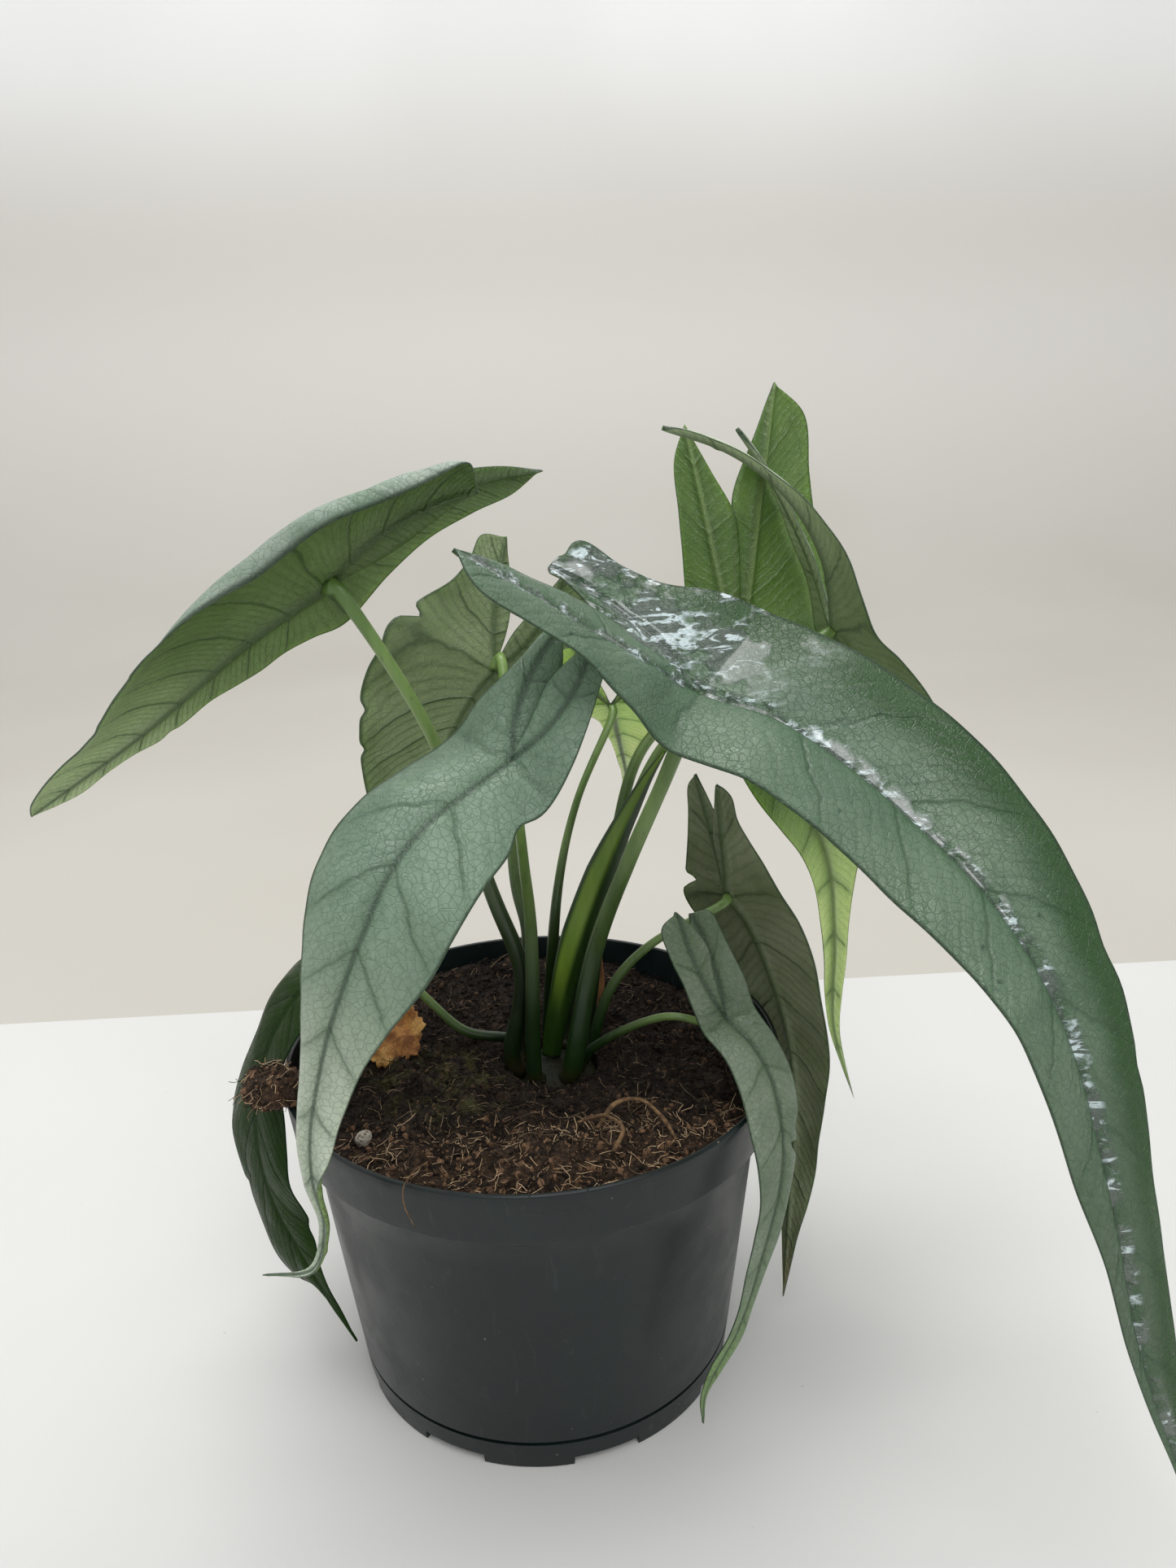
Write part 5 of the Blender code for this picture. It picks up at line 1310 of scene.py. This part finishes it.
threads = {                    # route and radius
    "root_long": ([(15, -44, 97), (20, -37, 99), (27, -35, 98.5), (32, -42, 97), (34, -51, 97)],
                  0.62),
    "root_short": ([(18, -55, 97.5), (21, -49, 99.8), (17, -43, 99.8), (10, -42, 97.8)], 0.55),
    "rim_fibre": ([(-27, -55, 98.4), (-30, -60, 99.4), (-32, -64.4, 98.6), (-32, -65.4, 94),
                   (-30, -66.5, 89)], 0.2),
}
threadTaper = np.array([1.0, 1.1, 0.8, 1.0, 0.5])


def makeThreads():
    m = Shade("rootBark", **{"Specular IOR Level": 0.3})
    streak = m.noise(500, 4, 0.7)
    m.colour(m.mottle(streak, paint(74, 54, 36), paint(134, 106, 74), 0.35, 0.7))
    m.rough(streak, 0.7, 0.9)
    m.bump(streak, 0.0004, 0.8)
    for name, (points, radius) in threads.items():
        verts, faces, _ = tubeMesh(spline(points, 60), radius * threadTaper, 10)
        verts = verts + 0.12 * radius * ripple(verts, 2.0, 9)[:, None]
        solid(makerName(name), "root", name, verts * mm, faces, m.mat)


driedScale = {"path": [(17, 15, 93), (20, 19, 104), (20, 20, 114), (23, 21, 123)],
              "widths": [1.6, 2.6, 2.2, 1.2], "flatness": 0.14, "across": (0.9, -0.4, 0.1)}


def makeScale():
    m = Shade("dryScaleSkin", **{"Subsurface Weight": 0.2, "Subsurface Scale": 0.001})
    streak = m.noise(300, 4, 0.7, 0.0, m.squeeze(1.0, 1.0, 0.15))
    m.colour(m.mottle(streak, paint(150, 104, 62), paint(88, 56, 30)))
    m.rough(streak, 0.65, 0.85)
    m.bump(streak, 0.0004, 0.8)
    verts, faces, _ = tubeMesh(spline(driedScale["path"], 50), driedScale["widths"], 28,
                               driedScale["flatness"], driedScale["across"])
    verts = verts + 0.25 * ripple(verts, 0.9, 4)[:, None]
    solid("driedScale", "dried", "dried_scale", verts * mm, faces, m.mat)


whiteCrumb = {"centre": (-44, -41, 97), "size": (2.1, 1.9, 1.9), "rough": 0.14}


def makeCrumb():
    m = Shade("whiteCrumb", **{"Specular IOR Level": 0.3})
    pore = m.cells(900)
    m.colour(m.mottle(pore, paint(100, 92, 80), paint(158, 150, 138), 0.2, 0.5))
    m.rough(m.stretch(pore, 0.0, 0.6, 0.95, 0.8))
    m.bump(pore, 0.0004, 0.8)
    verts, faces = lumpyBall(whiteCrumb["centre"], whiteCrumb["size"], whiteCrumb["rough"], 8)
    solid("whiteCrumb", "crumb", "white_crumb", verts * mm, faces, m.mat)


makeCrown()
makeClump()
makeFlake()
makeThreads()
makeScale()
makeCrumb()
print("loose bits made")


# table, backdrop and light

stage = {"tableBack": 0.2105, "tableSlope": -0.02, "tableThick": 0.012, "tableHalf": 3.0,
         # backdrop colours from low to high are painted lighter upwards, standing for light from
         # above
         "paper": (0.68, 0.67, 0.64, 1.0), "low": (0.52, 0.495, 0.445, 1.0),
         "middle": (0.73, 0.71, 0.67, 1.0), "high": (0.99, 1.0, 1.0, 1.0),
         "paperBend": 1.1, "bendRadius": 0.5, "paperDrop": 0.02, "paperHalf": 4.0}


def makeStage():
    top = Shade("paleTable", **{"Specular IOR Level": 0.35})
    base = top.mottle(top.noise(3.0), (0.64, 0.635, 0.615, 1.0), (0.68, 0.675, 0.655, 1.0),
                      0.3, 0.7)
    top.colour(top.tint(base, top.stretch(top.cells(60), 0.03, 0.015), 0.3,
                        (0.3, 0.28, 0.25, 1.0)))
    top.rough(top.noise(8), 0.55, 0.7)
    top.bump(top.noise(400, 2), 0.0001, 0.4)
    b, h, slope = stage["tableBack"], stage["tableHalf"], stage["tableSlope"]
    outline = [(-h, -h), (h, -h), (h, b + h * slope), (-h, b - h * slope)]
    verts = [(x, y, z) for z in (-stage["tableThick"], 0) for x, y in outline]
    faces = [[0, 3, 2, 1], [4, 5, 6, 7], [0, 1, 5, 4], [1, 2, 6, 5], [2, 3, 7, 6], [3, 0, 4, 7]]
    makePiece("table", verts, faces, [top.mat], smooth=False)
    back = Shade("paperBackdrop", **{"Roughness": 0.9, "Specular IOR Level": 0.1})
    height = back.parts(back.coords)[2]
    # painted light: the backdrop is painted darker low down and brighter towards the top, as if
    # lit from above
    wall = back.mottle(height, stage["low"], stage["middle"], 0.0, 0.4)
    wall = back.mottle(height, wall, stage["high"], 0.5, 0.85)
    back.colour(back.blend(back.stretch(back.noise(2.0, 2), 0.3, 0.7, 0.0, 0.25), wall,
                           stage["paper"]))
    r, drop, half = stage["bendRadius"], stage["paperDrop"], stage["paperHalf"]
    path = [(-3.0, -drop)] + [(stage["paperBend"] + r * math.sin(math.radians(a)),
                               r - drop - r * math.cos(math.radians(a)))
                              for a in range(0, 91, 6)] + [(stage["paperBend"] + r, 4.0)]
    verts = [(x, y, z) for y, z in path for x in (-half, half)]
    faces = [[2 * k, 2 * k + 1, 2 * k + 3, 2 * k + 2] for k in range(len(path) - 1)]
    makePiece("backdrop", verts, faces, [back.mat])


world = {"colour": (0.97, 0.985, 1.0, 1.0), "strength": 0.62}
white = (1.0, 1.0, 1.0)
lights = {                     # place, aim, size, power in watts and colour
    "skylight": ((-0.1, 0.2, 1.4), (0.02, 0.0, 0.12), (0.9, 0.7), 7.2, (1.0, 0.995, 0.985)),
    "windowLeft": ((-1.3, 0.1, 0.6), (0.0, 0.0, 0.1), (0.3, 0.9), 0.9, white),
    "frontFill": ((0.25, -1.1, 1.5), (0.1, -0.2, 0.0), (1.4, 0.8), 12.0, white),
    "wallWash": ((0.0, 0.6, 2.4), (0.0, 1.6, 1.5), (2.0, 0.5), 14.0, white),
}


def makeLight():
    scene = bpy.context.scene
    scene.world = bpy.data.worlds.new("studio")
    scene.world.use_nodes = True
    air = scene.world.node_tree.nodes["Background"].inputs
    air[0].default_value, air[1].default_value = world["colour"], world["strength"]
    for name, (place, aim, size, power, colour) in lights.items():
        lamp = bpy.data.lights.new(name, "AREA")
        lamp.shape = "RECTANGLE"
        lamp.size, lamp.size_y = size
        lamp.energy, lamp.color = power, colour
        piece = bpy.data.objects.new(name, lamp)
        piece.location = place
        piece.rotation_mode = "QUATERNION"
        piece.rotation_quaternion = (Vector(aim) - Vector(place)).to_track_quat("-Z", "Y")
        scene.collection.objects.link(piece)
    scene.view_settings.view_transform = "Standard"


makeStage()
makeLight()
print("stage and light set")
